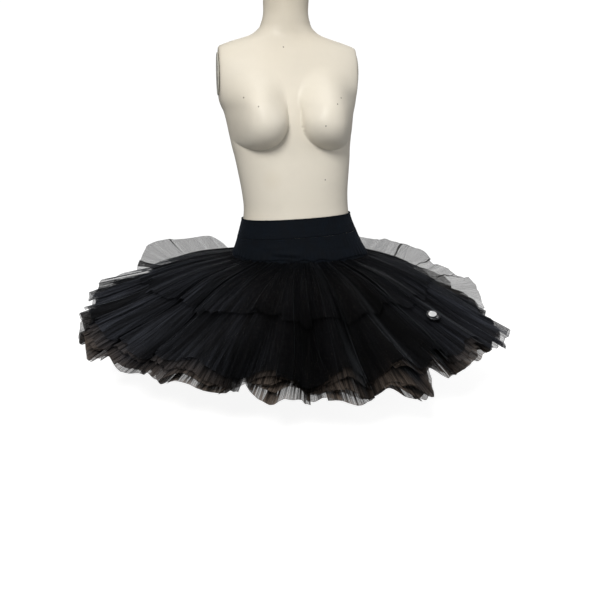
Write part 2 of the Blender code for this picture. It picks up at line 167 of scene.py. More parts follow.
RimStation = namedtuple("RimStation", "turn upper_reach lower_reach rise fan")
RIM_STATIONS = table(RimStation, (
    (-180, 1.000, 0.990, -0.175, 0.80),
    (-150, 1.030, 1.000, -0.184, 0.80),
    (-120, 1.070, 1.020, -0.176, 1.10),
    (-90, 1.045, 0.985, -0.195, 1.18),
    (-60, 1.000, 0.975, -0.214, 1.05),
    (-30, 0.980, 0.965, -0.223, 1.00),
    (0, 0.990, 1.000, -0.222, 1.00),
    (30, 0.970, 0.980, -0.221, 0.95),
    (60, 0.950, 0.985, -0.228, 0.64),
    (90, 0.960, 0.980, -0.230, 0.64),
    (120, 0.970, 0.970, -0.210, 0.72),
    (150, 1.000, 0.980, -0.182, 0.74),
))

Valley = namedtuple("Valley", "turn half_width depth start full")
VALLEYS = table(Valley, (
    (-61, 3.6, 0.010, 0.30, 0.55),
    (-48, 3.8, 0.015, 0.30, 0.80),
    (-23, 3.4, 0.018, 0.45, 0.90),
    (-6, 3.8, 0.016, 0.05, 0.75),
    (8, 3.2, 0.012, 0.40, 0.80),
    (25, 3.6, 0.014, 0.20, 0.70),
    (31, 3.2, 0.010, 0.65, 0.95),
    (57, 3.8, 0.012, 0.30, 0.80),
    (79, 3.4, 0.014, 0.20, 0.90),
    (101, 3.8, 0.012, 0.40, 0.80),
    (124, 3.6, 0.016, 0.10, 0.70),
    (146, 3.4, 0.012, 0.50, 0.90),
    (169, 3.8, 0.017, 0.20, 0.80),
    (188, 3.4, 0.013, 0.35, 0.90),
    (209, 3.6, 0.012, 0.10, 0.60),
    (233, 3.8, 0.015, 0.30, 0.85),
    (256, 3.4, 0.013, 0.20, 0.70),
    (279, 3.6, 0.015, 0.40, 0.90),
))
HEM_PULL = 1.1
# Where the net of a tier stands up behind the form
Loop = namedtuple("Loop", "turn half_width height")
BACK_LOOPS = {
    "net_tier_2": [
        Loop(-146.5, 17.5, 0.064),
        Loop(149, 12, 0.058),
        Loop(127, 12, 0.064),
        Loop(101, 15, 0.040),
    ],
    "net_tier_3": [Loop(120, 20, 0.024)],
}

# Pleats of the net, between the large folds: where each column stands across a pleat. A panel is cut
# into seven gores at the hem, and a snip is how far their lengths differ
PLEAT_STEPS = np.array(
    [0.0, 0.08, 0.16, 0.23, 0.30, 0.35, 0.39, 0.42, 0.447, 0.47, 0.49]
    + [0.51, 0.53, 0.553, 0.58, 0.61, 0.65, 0.70, 0.77, 0.84, 0.92]
)
GORE_EDGES, SNIP = (0.11, 0.25, 0.40, 0.60, 0.75, 0.89), 0.0030
NET_ROWS, PLEAT_SEED, HEM_SEED = 46, 410, 90
# Each tier's share of painted warm light through the net at its hem, and how much its gauze covers
PAINTED_HEM_LIGHT_SHARES = (0.0, 0.0, 0.25, 0.5, 0.7, 0.9, 0.9)
GAUZE_COVER = (0.54, 0.54, 0.58, 0.66, 0.70, 0.70, 0.70)


class TutuSizes(bpy.types.PropertyGroup):
    """Sizes of the dressed parts, as a maker would change them"""

    pleats: IntProperty(name="Pleats", description="Pressed pleats in each tier of net", default=48, min=30)
    pleat_lift: FloatProperty(
        name="Pleat lift",
        description="How far a pleat's edge stands off its tier",
        default=0.0032,
        unit="LENGTH",
    )
    pleat_overlap: FloatProperty(
        name="Pleat overlap",
        description="How far a pleat laps over the next at the hem",
        default=0.015,
        unit="LENGTH",
    )
    mesh_cell: FloatProperty(
        name="Net cell", description="Width of one cell of the net", default=0.0021, unit="LENGTH"
    )
    stitch: FloatProperty(name="Stitch", description="Length of one stitch", default=0.0028, unit="LENGTH")


class TutuColours(bpy.types.PropertyGroup):
    """Colours of the dressed parts"""

    form: FloatVectorProperty(
        name="Form", description="Painted shell of the form", subtype="COLOR", default=(0.72, 0.675, 0.585)
    )
    yellowed: FloatVectorProperty(
        name="Yellowed paint",
        description="Aged paint of the form",
        subtype="COLOR",
        default=(0.64, 0.565, 0.44),
    )
    knit: FloatVectorProperty(
        name="Knit", description="Waistband and basque", subtype="COLOR", default=(0.0026, 0.0046, 0.0080)
    )
    net: FloatVectorProperty(
        name="Net", description="Stiff net", subtype="COLOR", default=(0.0021, 0.0023, 0.0029)
    )
    net_brown: FloatVectorProperty(
        name="Net's warm cast",
        description="Net where light shines through",
        subtype="COLOR",
        default=(0.0034, 0.0029, 0.0028),
    )
    plate: FloatVectorProperty(
        name="Arm plate", description="Metal of the arm plates", subtype="COLOR", default=(0.60, 0.585, 0.52)
    )
    floor: FloatVectorProperty(
        name="Floor", description="Studio floor", subtype="COLOR", default=(0.45, 0.45, 0.45)
    )


def through(knots, values, at):
    """A smooth curve through the knots: cubics whose slope at each knot comes from its neighbours."""
    knots = np.asarray(knots, float)
    values = np.asarray(values, float)
    slopes = np.gradient(values, knots)
    cell = np.clip(np.searchsorted(knots, at, side="right") - 1, 0, len(knots) - 2)
    width = knots[cell + 1] - knots[cell]
    share = np.clip((at - knots[cell]) / width, 0.0, 1.0)
    ahead = 1.0 - share
    return (
        values[cell] * ahead**2 * (1 + 2 * share)
        + values[cell + 1] * share**2 * (1 + 2 * ahead)
        + width * (slopes[cell] * share * ahead**2 - slopes[cell + 1] * ahead * share**2)
    )


def ease(share):
    """An S-shaped ramp: three squares of the share less two cubes, from 0 to 1."""
    share = np.clip(share, 0.0, 1.0)
    return share**2 * (3 - 2 * share)


def whole_turn(steps):
    """Even angles round a circle."""
    return np.arange(steps) * math.tau / steps


def section(rise, column):
    """One column of the form's table at any rise."""
    knots = [row.rise for row in FORM_SECTIONS]
    return through(knots, [getattr(row, column) for row in FORM_SECTIONS], rise)


def bust(across, rise, angle):
    """Two mounds on the front: one less the square of the distance from a mound's middle, counted in half
    widths and in heights below or above it, raised to a power that is round below and soft above."""
    up = (rise - BUST_RISE) / np.where(rise < BUST_RISE, BUST_BELOW, BUST_ABOVE)
    power = BUST_ROUND + (BUST_SOFT - BUST_ROUND) * ease(up / 0.75)
    half_width = BUST_HALF_WIDTH * (1 + BUST_WIDER_ABOVE * ease(up))
    middles = [BUST_CENTRE_X + side * BUST_SPREAD for side in (-1, 1)]
    mounds = sum(np.clip(1 - ((across - x) / half_width) ** 2 - up**2, 0.0, 1.0) ** power for x in middles)
    return BUST_DEPTH * mounds * ease(1.5 * np.cos(angle))


def form_points(rise, angle, outside=0.0, arm_edge=0.0):
    """A superellipse at each rise, with the bust added in front and the arm ends cut flat.

    The cut's edge is rounded over arm_edge: the overshoot is taken off as a soft hinge, which is the
    edge times the logarithm of one plus the exponential of the overshoot over the edge.
    """
    half_width = section(rise, "half_width") + outside
    half_depth = section(rise, "half_depth") + outside
    power = section(rise, "squareness")
    sine, cosine = np.abs(np.sin(angle)), np.abs(np.cos(angle))
    reach = ((sine / half_width) ** power + (cosine / half_depth) ** power) ** (-1 / power)
    across = reach * np.sin(angle)
    if arm_edge:
        over = np.logaddexp(0.0, (np.abs(across) - ARM_END_X + 0.6 * arm_edge) / arm_edge) * arm_edge
        cut = np.sign(across) * (np.abs(across) - over)
    else:
        cut = np.clip(across, -ARM_END_X, ARM_END_X)
    across = np.where(rise > ARM_END_LOWEST_RISE, cut, across)
    forward = reach * np.cos(angle) + bust(across, rise, angle)
    x = section(rise, "centre_x") + across
    return np.stack([x, section(rise, "centre_y") - forward, WAIST_HEIGHT + rise], axis=-1)


def worn_points(rise, angle, outside=FABRIC_GAP):
    """The garment on the form: its rise is tilted with the waist, and the tilt fades out down the basque."""
    share = np.minimum(1.0, (rise - BASQUE_RISE[1]) / (BASQUE_RISE[0] - BASQUE_RISE[1]))
    level = form_points(rise, angle)
    tilted = rise + share * (WAIST_TILT * level[..., 0] - WAIST_PITCH * level[..., 1])
    return form_points(tilted, angle, outside)


def grid_faces(rows, columns, round_rows, round_columns):
    """Quads between neighbouring points of a grid, wound so that they face along the cross product of the
    way along a row and the way from row to row."""
    down = np.arange(rows if round_rows else rows - 1)
    along = np.arange(columns if round_columns else columns - 1)
    i, j = np.meshgrid(down, along, indexing="ij")
    i2, j2 = (i + 1) % rows, (j + 1) % columns
    quads = np.stack([i * columns + j, i * columns + j2, i2 * columns + j2, i2 * columns + j], axis=-1)
    return quads.reshape(-1, 4)


def surface(name, points, round_rows=False, round_columns=True, uv=None, attributes=None):
    """A mesh object from a grid of points. uv and attributes hold one value for each point of the grid."""
    rows, columns = points.shape[:2]
    quads = grid_faces(rows, columns, round_rows, round_columns)
    mesh = bpy.data.meshes.new(name)
    mesh.vertices.add(rows * columns)
    mesh.vertices.foreach_set("co", np.ascontiguousarray(points, np.float32).ravel())
    mesh.loops.add(quads.size)
    mesh.loops.foreach_set("vertex_index", quads.ravel().astype(np.int32))
    mesh.polygons.add(len(quads))
    mesh.polygons.foreach_set("loop_start", np.arange(0, quads.size, 4, dtype=np.int32))
    mesh.update(calc_edges=True)
    mesh.polygons.foreach_set("use_smooth", np.ones(len(quads), bool))
    if uv is not None:
        layer = mesh.uv_layers.new(name="cloth")
        flat = uv.reshape(-1, 2)[quads.ravel()]
        if round_columns:
            corner = flat.reshape(-1, 4, 2)
            jump = corner[:, 0, 0] - corner[:, 1, 0] > 0.5 * np.ptp(uv[..., 0])
            corner[jump, 1:3, 0] += np.ptp(uv[..., 0]) + (uv[0, 1, 0] - uv[0, 0, 0])
        layer.data.foreach_set("uv", flat.astype(np.float32).ravel())
    for key, values in (attributes or {}).items():
        made = mesh.attributes.new(key, "FLOAT", "POINT")
        made.data.foreach_set("value", values.astype(np.float32).ravel())
    mesh.validate()
    thing = bpy.data.objects.new(name, mesh)
    bpy.context.scene.collection.objects.link(thing)
    return thing


def close_ends(thing, rows, columns):
    """Closes the first and the last row of a grid that is round along its columns."""
    mesh = thing.data
    first = list(range(columns - 1, -1, -1))
    last = list(range((rows - 1) * columns, rows * columns))
    count, loops = len(mesh.polygons), len(mesh.loops)
    mesh.loops.add(2 * columns)
    mesh.polygons.add(2)
    for k, ring in enumerate((first, last)):
        mesh.polygons[count + k].loop_start = loops + k * columns
        for step, corner in enumerate(ring):
            mesh.loops[loops + k * columns + step].vertex_index = corner
    mesh.update(calc_edges=True)
    mesh.validate()


def dress(thing, finish, slot, *nodes):
    """Gives a piece its finish, puts it on the one body and hides the solids it replaces. The slot is not
    used.
    """
    thing.data.materials.clear()
    thing.data.materials.append(finish)
    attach(thing, "root")
    if nodes:
        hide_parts(*nodes)
    return thing


class Finish:
    """A material and short ways to add nodes to its tree and to join them."""

    def __init__(self, name, roughness, **constants):
        self.material = bpy.data.materials.new(name)
        self.material.use_nodes = True
        self.tree = self.material.node_tree
        self.shader = self.tree.nodes["Principled BSDF"]
        self.shader.inputs["Roughness"].default_value = roughness
        for key, value in constants.items():
            self.shader.inputs[key.replace("_", " ")].default_value = value

    def add(self, kind, settings=None, **sockets):
        """Adds a node. Settings are its own fields, and a socket takes a number, a colour or another
        node's output. A socket is named, or numbered as s0, s1 and so on."""
        made = self.tree.nodes.new("ShaderNode" + kind)
        for key, value in (settings or {}).items():
            setattr(made, key, value)
        for key, value in sockets.items():
            socket = made.inputs[int(key[1:])] if key[1:].isdigit() else made.inputs[key.replace("_", " ")]
            if isinstance(value, bpy.types.NodeSocket):
                self.tree.links.new(value, socket)
            else:
                socket.default_value = value
        return made

    def place(self, space, scale, turned=(0, 0, 0), moved=(0, 0, 0)):
        """Object or UV coordinates through a Mapping node."""
        source = self.add("TexCoord").outputs[space]
        placed = self.add("Mapping", None, Vector=source, Scale=scale, Rotation=turned, Location=moved)
        return placed.outputs[0]

    def noise(self, at, scale, detail=3.0, roughness=0.55):
        """Smooth noise from 0 to 1 at a scale."""
        made = self.add("TexNoise", None, Vector=at, Scale=scale, Detail=detail, Roughness=roughness)
        return made.outputs[0]

    def ball(self, scale, moved):
        """One less the distance from a point on the object: 1 there, and 0 from one scaled unit off."""
        spot = self.place("Object", scale, moved=moved)
        return self.add("TexGradient", {"gradient_type": "SPHERICAL"}, Vector=spot).outputs[1]

    def mark(self, name):
        """One of the values that the mesh carries for each of its points."""
        return self.add("Attribute", {"attribute_name": name}).outputs["Fac"]

    def ramp(self, value, low, high, out_low=0.0, out_high=1.0):
        """Maps low..high of a value to out_low..out_high, held at both ends."""
        made = self.add("MapRange", {"clamp": True}, s0=value, s1=low, s2=high, s3=out_low, s4=out_high)
        return made.outputs[0]

    def maths(self, kind, a, b=0.0):
        """Works out a sum, product, larger or smaller of two values."""
        return self.add("Math", {"operation": kind}, s0=a, s1=b).outputs[0]

    def mix(self, share, a, b):
        """Mixes two colours by a share."""
        made = self.add("Mix", {"data_type": "RGBA"}, s0=share, s6=a, s7=b)
        return made.outputs[2]

    def join(self, value, socket):
        """Joins a value to the shader."""
        self.tree.links.new(value, self.shader.inputs[socket])

    def bump(self, height, strength, distance):
        """Raises the surface by a height, as the light sees it."""
        made = self.add("Bump", None, Height=height, Strength=strength, Distance=distance)
        self.join(made.outputs[0], "Normal")


def rgba(colour, lighter=1.0):
    """A colour times a number, with an alpha of 1."""
    return (*(lighter * part for part in colour), 1.0)


# Where the form's paint is chipped, across and up, and how wide and high a chip is
FORM_CHIPS = (
    (-0.125, 0.574),
    (-0.100, 0.557),
    (0.064, 0.574),
    (0.053, 0.562),
    (0.028, 0.521),
    (0.038, 0.415),
    (-0.040, 0.672),
)
CHIP_WIDTH, CHIP_HEIGHT = 0.0016, 0.0020
# Where its paint is stained, and two soft patches of painted shade over the neck and the top of the form:
# the middle of each, how far it reaches, its share of the colour and how dark it is
StainAndShade = namedtuple("StainAndShade", "x y z size share darker")
STAINS_AND_PAINTED_SHADE = table(StainAndShade, (
    (-0.075, -0.095, 0.415, 0.030, 0.38, 1.0),
    (0.045, -0.085, 0.640, 0.018, 0.38, 1.0),
    (-0.060, 0.090, 0.550, 0.035, 0.38, 1.0),
    # The next two are painted shade over the neck and the top of the form; the first is also stained paint
    (-0.030, -0.045, 0.835, 0.110, 0.80, 0.60),
    (0.000, -0.060, 0.740, 0.180, 0.30, 0.80),
    (-0.018, -0.045, 0.815, 0.030, 0.40, 0.45),
))
CHIP_COLOUR, SPECK_COLOUR = (0.09, 0.075, 0.06, 1.0), (0.10, 0.085, 0.07, 1.0)


def form_finish(colours):
    """Aged off-white gloss paint: soft yellowed areas, stains, chips, fine scuffs, a few specks and brush
    waves, with shade painted over the neck and the top of the form as two more soft patches. Stains and
    chips are round, and fade out from their middles."""
    made = Finish("aged_form_paint", 0.5, Coat_Weight=0.06, Coat_Roughness=0.30, Specular_IOR_Level=0.30)
    body = made.place("Object", (1, 1, 1))
    cloudy = made.ramp(made.noise(body, 7.0, 4.0), 0.42, 0.70)
    tone = made.mix(cloudy, rgba(colours.form, 1.04), rgba(colours.form, 0.95))
    aged = made.ramp(made.noise(body, 3.1, 2.0), 0.46, 0.74, 0.0, 0.42)
    tone = made.mix(aged, tone, rgba(colours.yellowed))
    # Stains, and the painted shade over the neck and the top of the form
    for x, y, z, size, share, darker in STAINS_AND_PAINTED_SHADE:
        stain_and_shade = made.ball((1 / size,) * 3, (-x / size, -y / size, -z / size))
        tone = made.mix(made.ramp(stain_and_shade, 0.0, 0.8, 0.0, share), tone, rgba(colours.yellowed, darker))
    for x, z in FORM_CHIPS:
        chip = made.ball((1 / CHIP_WIDTH, 0.5, 1 / CHIP_HEIGHT), (-x / CHIP_WIDTH, 0.0, -z / CHIP_HEIGHT))
        tone = made.mix(made.ramp(chip, 0.0, 0.45, 0.0, 0.75), tone, CHIP_COLOUR)
    cells = made.add("TexVoronoi", {"feature": "F1"}, Vector=body, Scale=34.0, Randomness=1.0)
    speck = made.ramp(cells.outputs["Distance"], 0.022, 0.040, 1.0, 0.0)
    rare = made.ramp(made.noise(body, 9.0, 1.0), 0.60, 0.63)
    tone = made.mix(made.maths("MULTIPLY", speck, rare), tone, SPECK_COLOUR)
    made.join(tone, "Base Color")
    scuffed = made.noise(made.place("Object", (1, 1, 0.25), turned=(0.3, 0.2, 0.0)), 60.0, 5.0, 0.7)
    made.join(made.ramp(scuffed, 0.40, 0.72, 0.46, 0.66), "Roughness")
    made.bump(made.noise(body, 26.0, 3.0, 0.5), 0.10, 0.0015)
    return made.material


def plate_finish(colours):
    """Dull grey plate, brushed along its height, darker and rougher where it is worn."""
    made = Finish("dull_plate", 0.5, Metallic=0.1)
    brushed = made.noise(made.place("Object", (1, 60, 3)), 18.0, 4.0, 0.7)
    worn = made.noise(made.place("Object", (1, 1, 1)), 22.0, 3.0)
    tone = made.mix(made.ramp(brushed, 0.3, 0.7), rgba(colours.plate, 0.86), rgba(colours.plate, 1.1))
    made.join(made.mix(made.ramp(worn, 0.5, 0.75, 0.0, 0.5), tone, rgba(colours.plate, 0.5)), "Base Color")
    made.join(made.ramp(worn, 0.3, 0.75, 0.32, 0.6), "Roughness")
    made.bump(brushed, 0.12, 0.0004)
    return made.material


LINT_COLOUR, COOL_SHEEN = (0.05, 0.055, 0.062, 1.0), (0.55, 0.70, 1.0, 1.0)


def knit_finish(name, colours, wale, lighter):
    """Stretch knit: ribs one wale wide crossed by loops, lint, and colour that drifts a little."""
    made = Finish(name, 0.85, Sheen_Weight=0.03, Sheen_Roughness=0.4, Specular_IOR_Level=0.12)
    made.shader.inputs["Sheen Tint"].default_value = COOL_SHEEN
    cloth = made.place("UV", (1, 1, 1))
    ribs = made.add("TexWave", {"bands_direction": "X"}, Vector=cloth, Scale=0.314 / wale, Distortion=0.6)
    loops = made.add("TexWave", {"bands_direction": "Y"}, Vector=cloth, Scale=0.45 / wale, Distortion=1.2)
    weave = made.maths("MULTIPLY", ribs.outputs[1], loops.outputs[1])
    drift = made.noise(cloth, 34.0, 4.0, 0.6)
    dark, light = rgba(colours.knit, 0.72 * lighter), rgba(colours.knit, 1.3 * lighter)
    tone = made.mix(made.ramp(drift, 0.35, 0.70), dark, light)
    tone = made.mix(made.ramp(weave, 0.0, 0.5, 0.30, 0.0), tone, rgba(colours.knit, 0.3))
    lint = made.ramp(made.noise(cloth, 900.0, 2.0, 0.8), 0.70, 0.78, 0.0, 0.35)
    made.join(made.mix(lint, tone, LINT_COLOUR), "Base Color")
    made.join(made.ramp(drift, 0.3, 0.8, 0.74, 0.92), "Roughness")
    made.bump(weave, 0.45, 0.0005)
    return made.material


# Painted light, warm through the hem and paler through the loops behind, the net's sheen, and how often
# its streaks, its fine streaks and its thread lines change in a metre across and along the cloth
PAINTED_HEM_LIGHT, PAINTED_LOOP_LIGHT = (0.150, 0.118, 0.096, 1.0), (0.032, 0.029, 0.024, 1.0)
NET_SHEEN = (0.80, 0.88, 1.0, 1.0)
STREAKS, FINE_STREAKS, THREAD_LINES = (55, 3.2, 1), (260, 9, 1), (330, 5, 1)


def net_finish(name, colours, cell, cover, warm):
    """Stiff net: dark threads round open cells, clear between them, with streaks along the pleats.

    The cover is a thread's where a point is near a cell's edge, and the fine gauze of the threads' fuzz
    elsewhere. Both grow a little along streaks, and the last millimetre of the hem is denser. Shade is
    painted in, darkest in the valleys, and light is painted in warm near the hem, as light through it,
    and pale on the loops behind. Towards the sides and the back its streaks are painted paler, as light
    that skims it.
    """
    made = Finish(name, 0.62, Specular_IOR_Level=0.05, Sheen_Weight=0.075, Sheen_Roughness=0.30)
    made.shader.inputs["Sheen Tint"].default_value = NET_SHEEN
    cells = made.add(
        "TexVoronoi",
        {"voronoi_dimensions": "2D", "feature": "DISTANCE_TO_EDGE"},
        Vector=made.place("UV", (1 / cell, 0.87 / cell, 1)),
        Scale=1.0,
        Randomness=0.45,
    )
    thread = made.ramp(cells.outputs["Distance"], 0.08, 0.16, 1.0, 0.0)
    streak = made.noise(made.place("UV", STREAKS), 1.0, 4.0, 0.62)
    fine = made.noise(made.place("UV", FINE_STREAKS), 1.0, 3.0, 0.6)
    lines = made.noise(made.place("UV", THREAD_LINES), 1.0, 2.0, 0.5)
    drift = made.noise(made.place("Object", (1, 1, 1)), 5.5, 2.0)
    panel, hem, drawn, hollow = (made.mark(name) for name in ("tone", "to_hem", "drawn", "hollow"))

    # Painted light: towards the sides and the back, along its streaks, the net is painted much paler, as
    # skimming light
    across = made.add("SeparateXYZ", None, Vector=made.place("Object", (1, 1, 1)))
    side = made.ramp(made.maths("ABSOLUTE", across.outputs[0]), 0.10, 0.38, 0.0, 0.85)
    back = made.ramp(across.outputs[1], -0.10, 0.25, 0.0, 0.55)
    painted_skim_light = made.maths("MAXIMUM", side, back)
    painted_skim_light = made.maths("MULTIPLY", painted_skim_light, made.ramp(streak, 0.34, 0.62, 0.15, 1.0))

    tone = made.mix(made.ramp(drift, 0.38, 0.66), rgba(colours.net), rgba(colours.net_brown))
    for share, colour in (
        (made.ramp(panel, 0.0, 0.5, 0.75, 0.0), rgba(colours.net, 0.25)),
        (made.ramp(panel, 0.5, 1.0, 0.0, 0.7), rgba(colours.net, 1.9)),
        (made.ramp(streak, 0.35, 0.72, 0.0, 0.55), rgba(colours.net, 2.2)),
        (painted_skim_light, rgba(colours.net, 24.0)),
        # Painted light: warm light through the net near the hem
        (made.ramp(hem, 0.002, 0.034, warm, 0.0), PAINTED_HEM_LIGHT),
        # Painted light: the loops behind are painted a paler brown, as light through them from behind
        (made.ramp(drawn, 0.0, 0.8, 0.8, 0.0), PAINTED_LOOP_LIGHT),
        (made.ramp(fine, 0.42, 0.60, 0.0, 0.8), rgba(colours.net, 0.3)),
        # Painted shade: the net is painted darker in its valleys
        (made.ramp(hollow, 0.25, 0.95, 0.0, 0.72), rgba(colours.net, 0.25)),
    ):
        tone = made.mix(share, tone, colour)
    made.join(tone, "Base Color")

    lines = made.maths("MULTIPLY", made.ramp(lines, 0.46, 0.62), made.ramp(drawn, 0.0, 1.0, 0.12, 1.0))
    thick = made.ramp(streak, 0.30, 0.75, cover - 0.07, cover + 0.10)
    gauze = made.maths("MULTIPLY", thick, made.ramp(lines, 0.0, 1.0, 0.92, 1.50))
    at_hem, on_loops = made.ramp(hem, 0.0, 0.030, 0.84, 1.0), made.ramp(drawn, 0.0, 0.8, 1.08, 0.0)
    gauze = made.maths("MULTIPLY", gauze, made.maths("MAXIMUM", at_hem, on_loops))
    solid = made.maths("MAXIMUM", thread, made.ramp(hem, 0.0005, 0.0016, 0.6, 0.0))
    gap = made.maths("SUBTRACT", 1.0, gauze)
    open_share = made.maths("MULTIPLY", gap, made.ramp(solid, 0.0, 1.0, 1.18, 0.16))
    made.join(made.maths("SUBTRACT", 1.0, open_share), "Alpha")
    made.join(made.ramp(streak, 0.3, 0.7, 0.52, 0.72), "Roughness")
    return made.material


def thread_finish(colours):
    """Black sewing thread with the twist of its plies."""
    made = Finish("sewing_thread", 0.7, Specular_IOR_Level=0.12)
    here = made.place("Object", (1, 1, 1))
    plies = made.add("TexWave", {"bands_direction": "DIAGONAL"}, Vector=here, Scale=420.0)
    tone = made.mix(plies.outputs[1], rgba(colours.knit, 0.5), rgba(colours.knit, 1.2))
    made.join(tone, "Base Color")
    made.bump(plies.outputs[1], 0.4, 0.0002)
    return made.material


def stone_finish(middle, radius):
    """Clear stone over a silvered back, with its reflections painted on: a bright painted reflection on the
    table, a ring of facets painted dark round it and a painted highlight on one facet in that ring."""
    made = Finish("silvered_stone", 0.07, Metallic=0.35, Coat_Weight=0.8, Coat_Roughness=0.03)
    cloudy = made.noise(made.place("Object", (1, 1, 1)), 160.0, 3.0)
    tone = made.mix(made.ramp(cloudy, 0.35, 0.7), (1.0, 1.0, 1.0, 1.0), (0.80, 0.83, 0.86, 1.0))
    # Painted reflections: a bright patch on the table and a painted highlight on one facet, dark between
    painted_table_reflection, facet = (
        made.ball((1 / radius / size,) * 3, [-(m / radius + s) / size for m, s in zip(middle, shift)])
        for shift, size in (((-0.16, 0.0, 0.0), 0.80), ((0.62, 0.55, 0.0), 0.42))
    )
    bright = made.maths("MAXIMUM", made.ramp(painted_table_reflection, 0.10, 0.18), made.ramp(facet, 0.20, 0.45, 0.0, 0.9))
    tone = made.mix(bright, (0.012, 0.013, 0.016, 1.0), tone)
    made.join(tone, "Base Color")
    made.join(made.ramp(cloudy, 0.3, 0.75, 0.04, 0.16), "Roughness")
    return made.material


def setting_finish():
    """Blackened metal setting, rubbed brighter in places."""
    made = Finish("dark_setting", 0.35, Metallic=0.8)
    worn = made.noise(made.place("Object", (1, 1, 1)), 420.0, 3.0)
    tone = made.mix(made.ramp(worn, 0.45, 0.75), (0.02, 0.021, 0.024, 1.0), (0.16, 0.16, 0.17, 1.0))
    made.join(tone, "Base Color")
    made.bump(worn, 0.2, 0.0002)
    return made.material


def floor_finish(colours):
    """White paper floor with a faint tooth, lit so that it stays pale under the skirt."""
    made = Finish("studio_paper", 0.9, Specular_IOR_Level=0.1)
    grain = made.noise(made.place("Object", (1, 1, 1)), 90.0, 4.0)
    made.join(made.mix(grain, rgba(colours.floor, 0.99), rgba(colours.floor, 1.01)), "Base Color")
    made.shader.inputs["Emission Color"].default_value = (1.0, 1.0, 1.0, 1.0)
    seen = made.add("LightPath").outputs["Is Camera Ray"]
    made.join(made.ramp(seen, 0.0, 1.0, 0.12, 0.90), "Emission Strength")
    return made.material


# Soft troughs and ridges in the fitted knit: turn and rise at each end of the crease, half
# width in metres, and depth, below zero for a ridge. A degree of turn is as long as on a round this wide
KNIT_RADIUS = 0.115
Crease = namedtuple("Crease", "turn_a rise_a turn_b rise_b half_width depth")
KNIT_CREASES = table(Crease, (
    (-42, -0.0650, -4, -0.0690, 0.0028, 0.0020),
    (-40, -0.0585, -2, -0.0640, 0.0032, -0.0045),
    (-48, -0.0500, -16, -0.0470, 0.0030, -0.0014),
    (-20, -0.0480, 14, -0.0530, 0.0024, 0.0005),
    (22, -0.0600, 52, -0.0540, 0.0028, 0.0007),
    (-64, -0.0440, -40, -0.0560, 0.0026, 0.0006),
    (-12, -0.0130, 30, -0.0100, 0.0020, 0.0004),
    (-58, -0.0180, -22, -0.0200, 0.0018, 0.0004),
    (40, -0.0220, 70, -0.0190, 0.0020, 0.0005),
    (70, -0.0420, 84, -0.0640, 0.0030, 0.0010),
    (96, -0.0380, 104, -0.0680, 0.0032, 0.0008),
    (118, -0.0600, 150, -0.0500, 0.0028, 0.0009),
    (140, -0.0150, 176, -0.0190, 0.0020, 0.0005),
    (160, -0.0440, 200, -0.0560, 0.0030, 0.0008),
    (196, -0.0640, 228, -0.0560, 0.0028, 0.0010),
    (222, -0.0200, 250, -0.0150, 0.0020, 0.0004),
    (244, -0.0420, 262, -0.0660, 0.0030, 0.0009),
))


def creases(rise, angle):
    """How far the knit is pressed in: for each crease, its depth times a bell of the distance from its
    line, faded out towards both ends by S-shaped ramps."""
    total = np.zeros(np.broadcast(rise, angle).shape)
    for crease in KNIT_CREASES:
        length_x = math.radians(crease.turn_b - crease.turn_a) * KNIT_RADIUS
        length_z = crease.rise_b - crease.rise_a
        length = math.hypot(length_x, length_z)
        x = np.radians(turn_away(angle, crease.turn_a)) * KNIT_RADIUS
        z = rise - crease.rise_a
        along = (x * length_x + z * length_z) / length**2
        sideways = (x * length_z - z * length_x) / length
        bell = np.exp(-0.5 * (sideways / crease.half_width) ** 2)
        total = total + crease.depth * bell * ease(along / 0.3) * ease((1 - along) / 0.3)
    return total


def turn_away(angle, turn):
    """How far an angle lies from a turn, in degrees, the short way round."""
    return (np.degrees(angle) - turn + 180) % 360 - 180


def place_angle(cloth_angle):
    """Where a point of the gathered edge lies round the form: folds are bunched here and spread there."""
    bunched = 0.050 * np.sin(3 * cloth_angle + 0.7) + 0.028 * np.sin(7 * cloth_angle + 2.1)
    return cloth_angle + bunched + 0.012 * np.sin(11 * cloth_angle + 4.0)


def round_rim(angle, column):
    """One column of the rim's table at any angle, smooth all the way round."""
    turns = [row.turn for row in RIM_STATIONS]
    values = [getattr(row, column) for row in RIM_STATIONS]
    knots = [turn + turns_round for turns_round in (-360, 0, 360) for turn in turns]
    return through(knots, values * 3, (np.degrees(angle) + 180) % 360 - 180)


def hem_wander(angle, index):
    """Three sine waves round the hem, as a share of its reach."""
    return (
        0.013 * np.sin(5 * angle + 1.9 * index)
        + 0.010 * np.sin(9 * angle + 2.7 * index + 1.0)
        + 0.008 * np.sin(14 * angle + 0.8 * index)
    )


def valleys(angle, share):
    """The largest valleys: for each, its depth times a bell of the turn and an S-shaped ramp outwards,
    with a narrow fold at the bottom that falls off as the exponential of the distance and wanders off
    the radius."""
    total = np.zeros(np.broadcast(angle, share).shape)
    for valley in VALLEYS:
        ramp = ease((share - valley.start) / (valley.full - valley.start))
        away = turn_away(angle, valley.turn)
        lean = 2.2 * math.sin(2.3 * valley.turn) * (share - 0.7) / 0.3
        bell = np.exp(-0.5 * (away / valley.half_width) ** 2)
        fold = np.exp(-np.abs(away - lean) / 0.95)
        total = total + ramp * (valley.depth * bell + 0.60 * valley.depth * fold)
    return total


def back_loops(tier, angle):
    """Flat-topped bells of the turn, as high as each of the tier's loops stands."""
    height = 0.0 * angle
    for loop in BACK_LOOPS.get(tier, ()):
        height = height + loop.height * np.exp(-((turn_away(angle, loop.turn) / loop.half_width) ** 6))
    return height


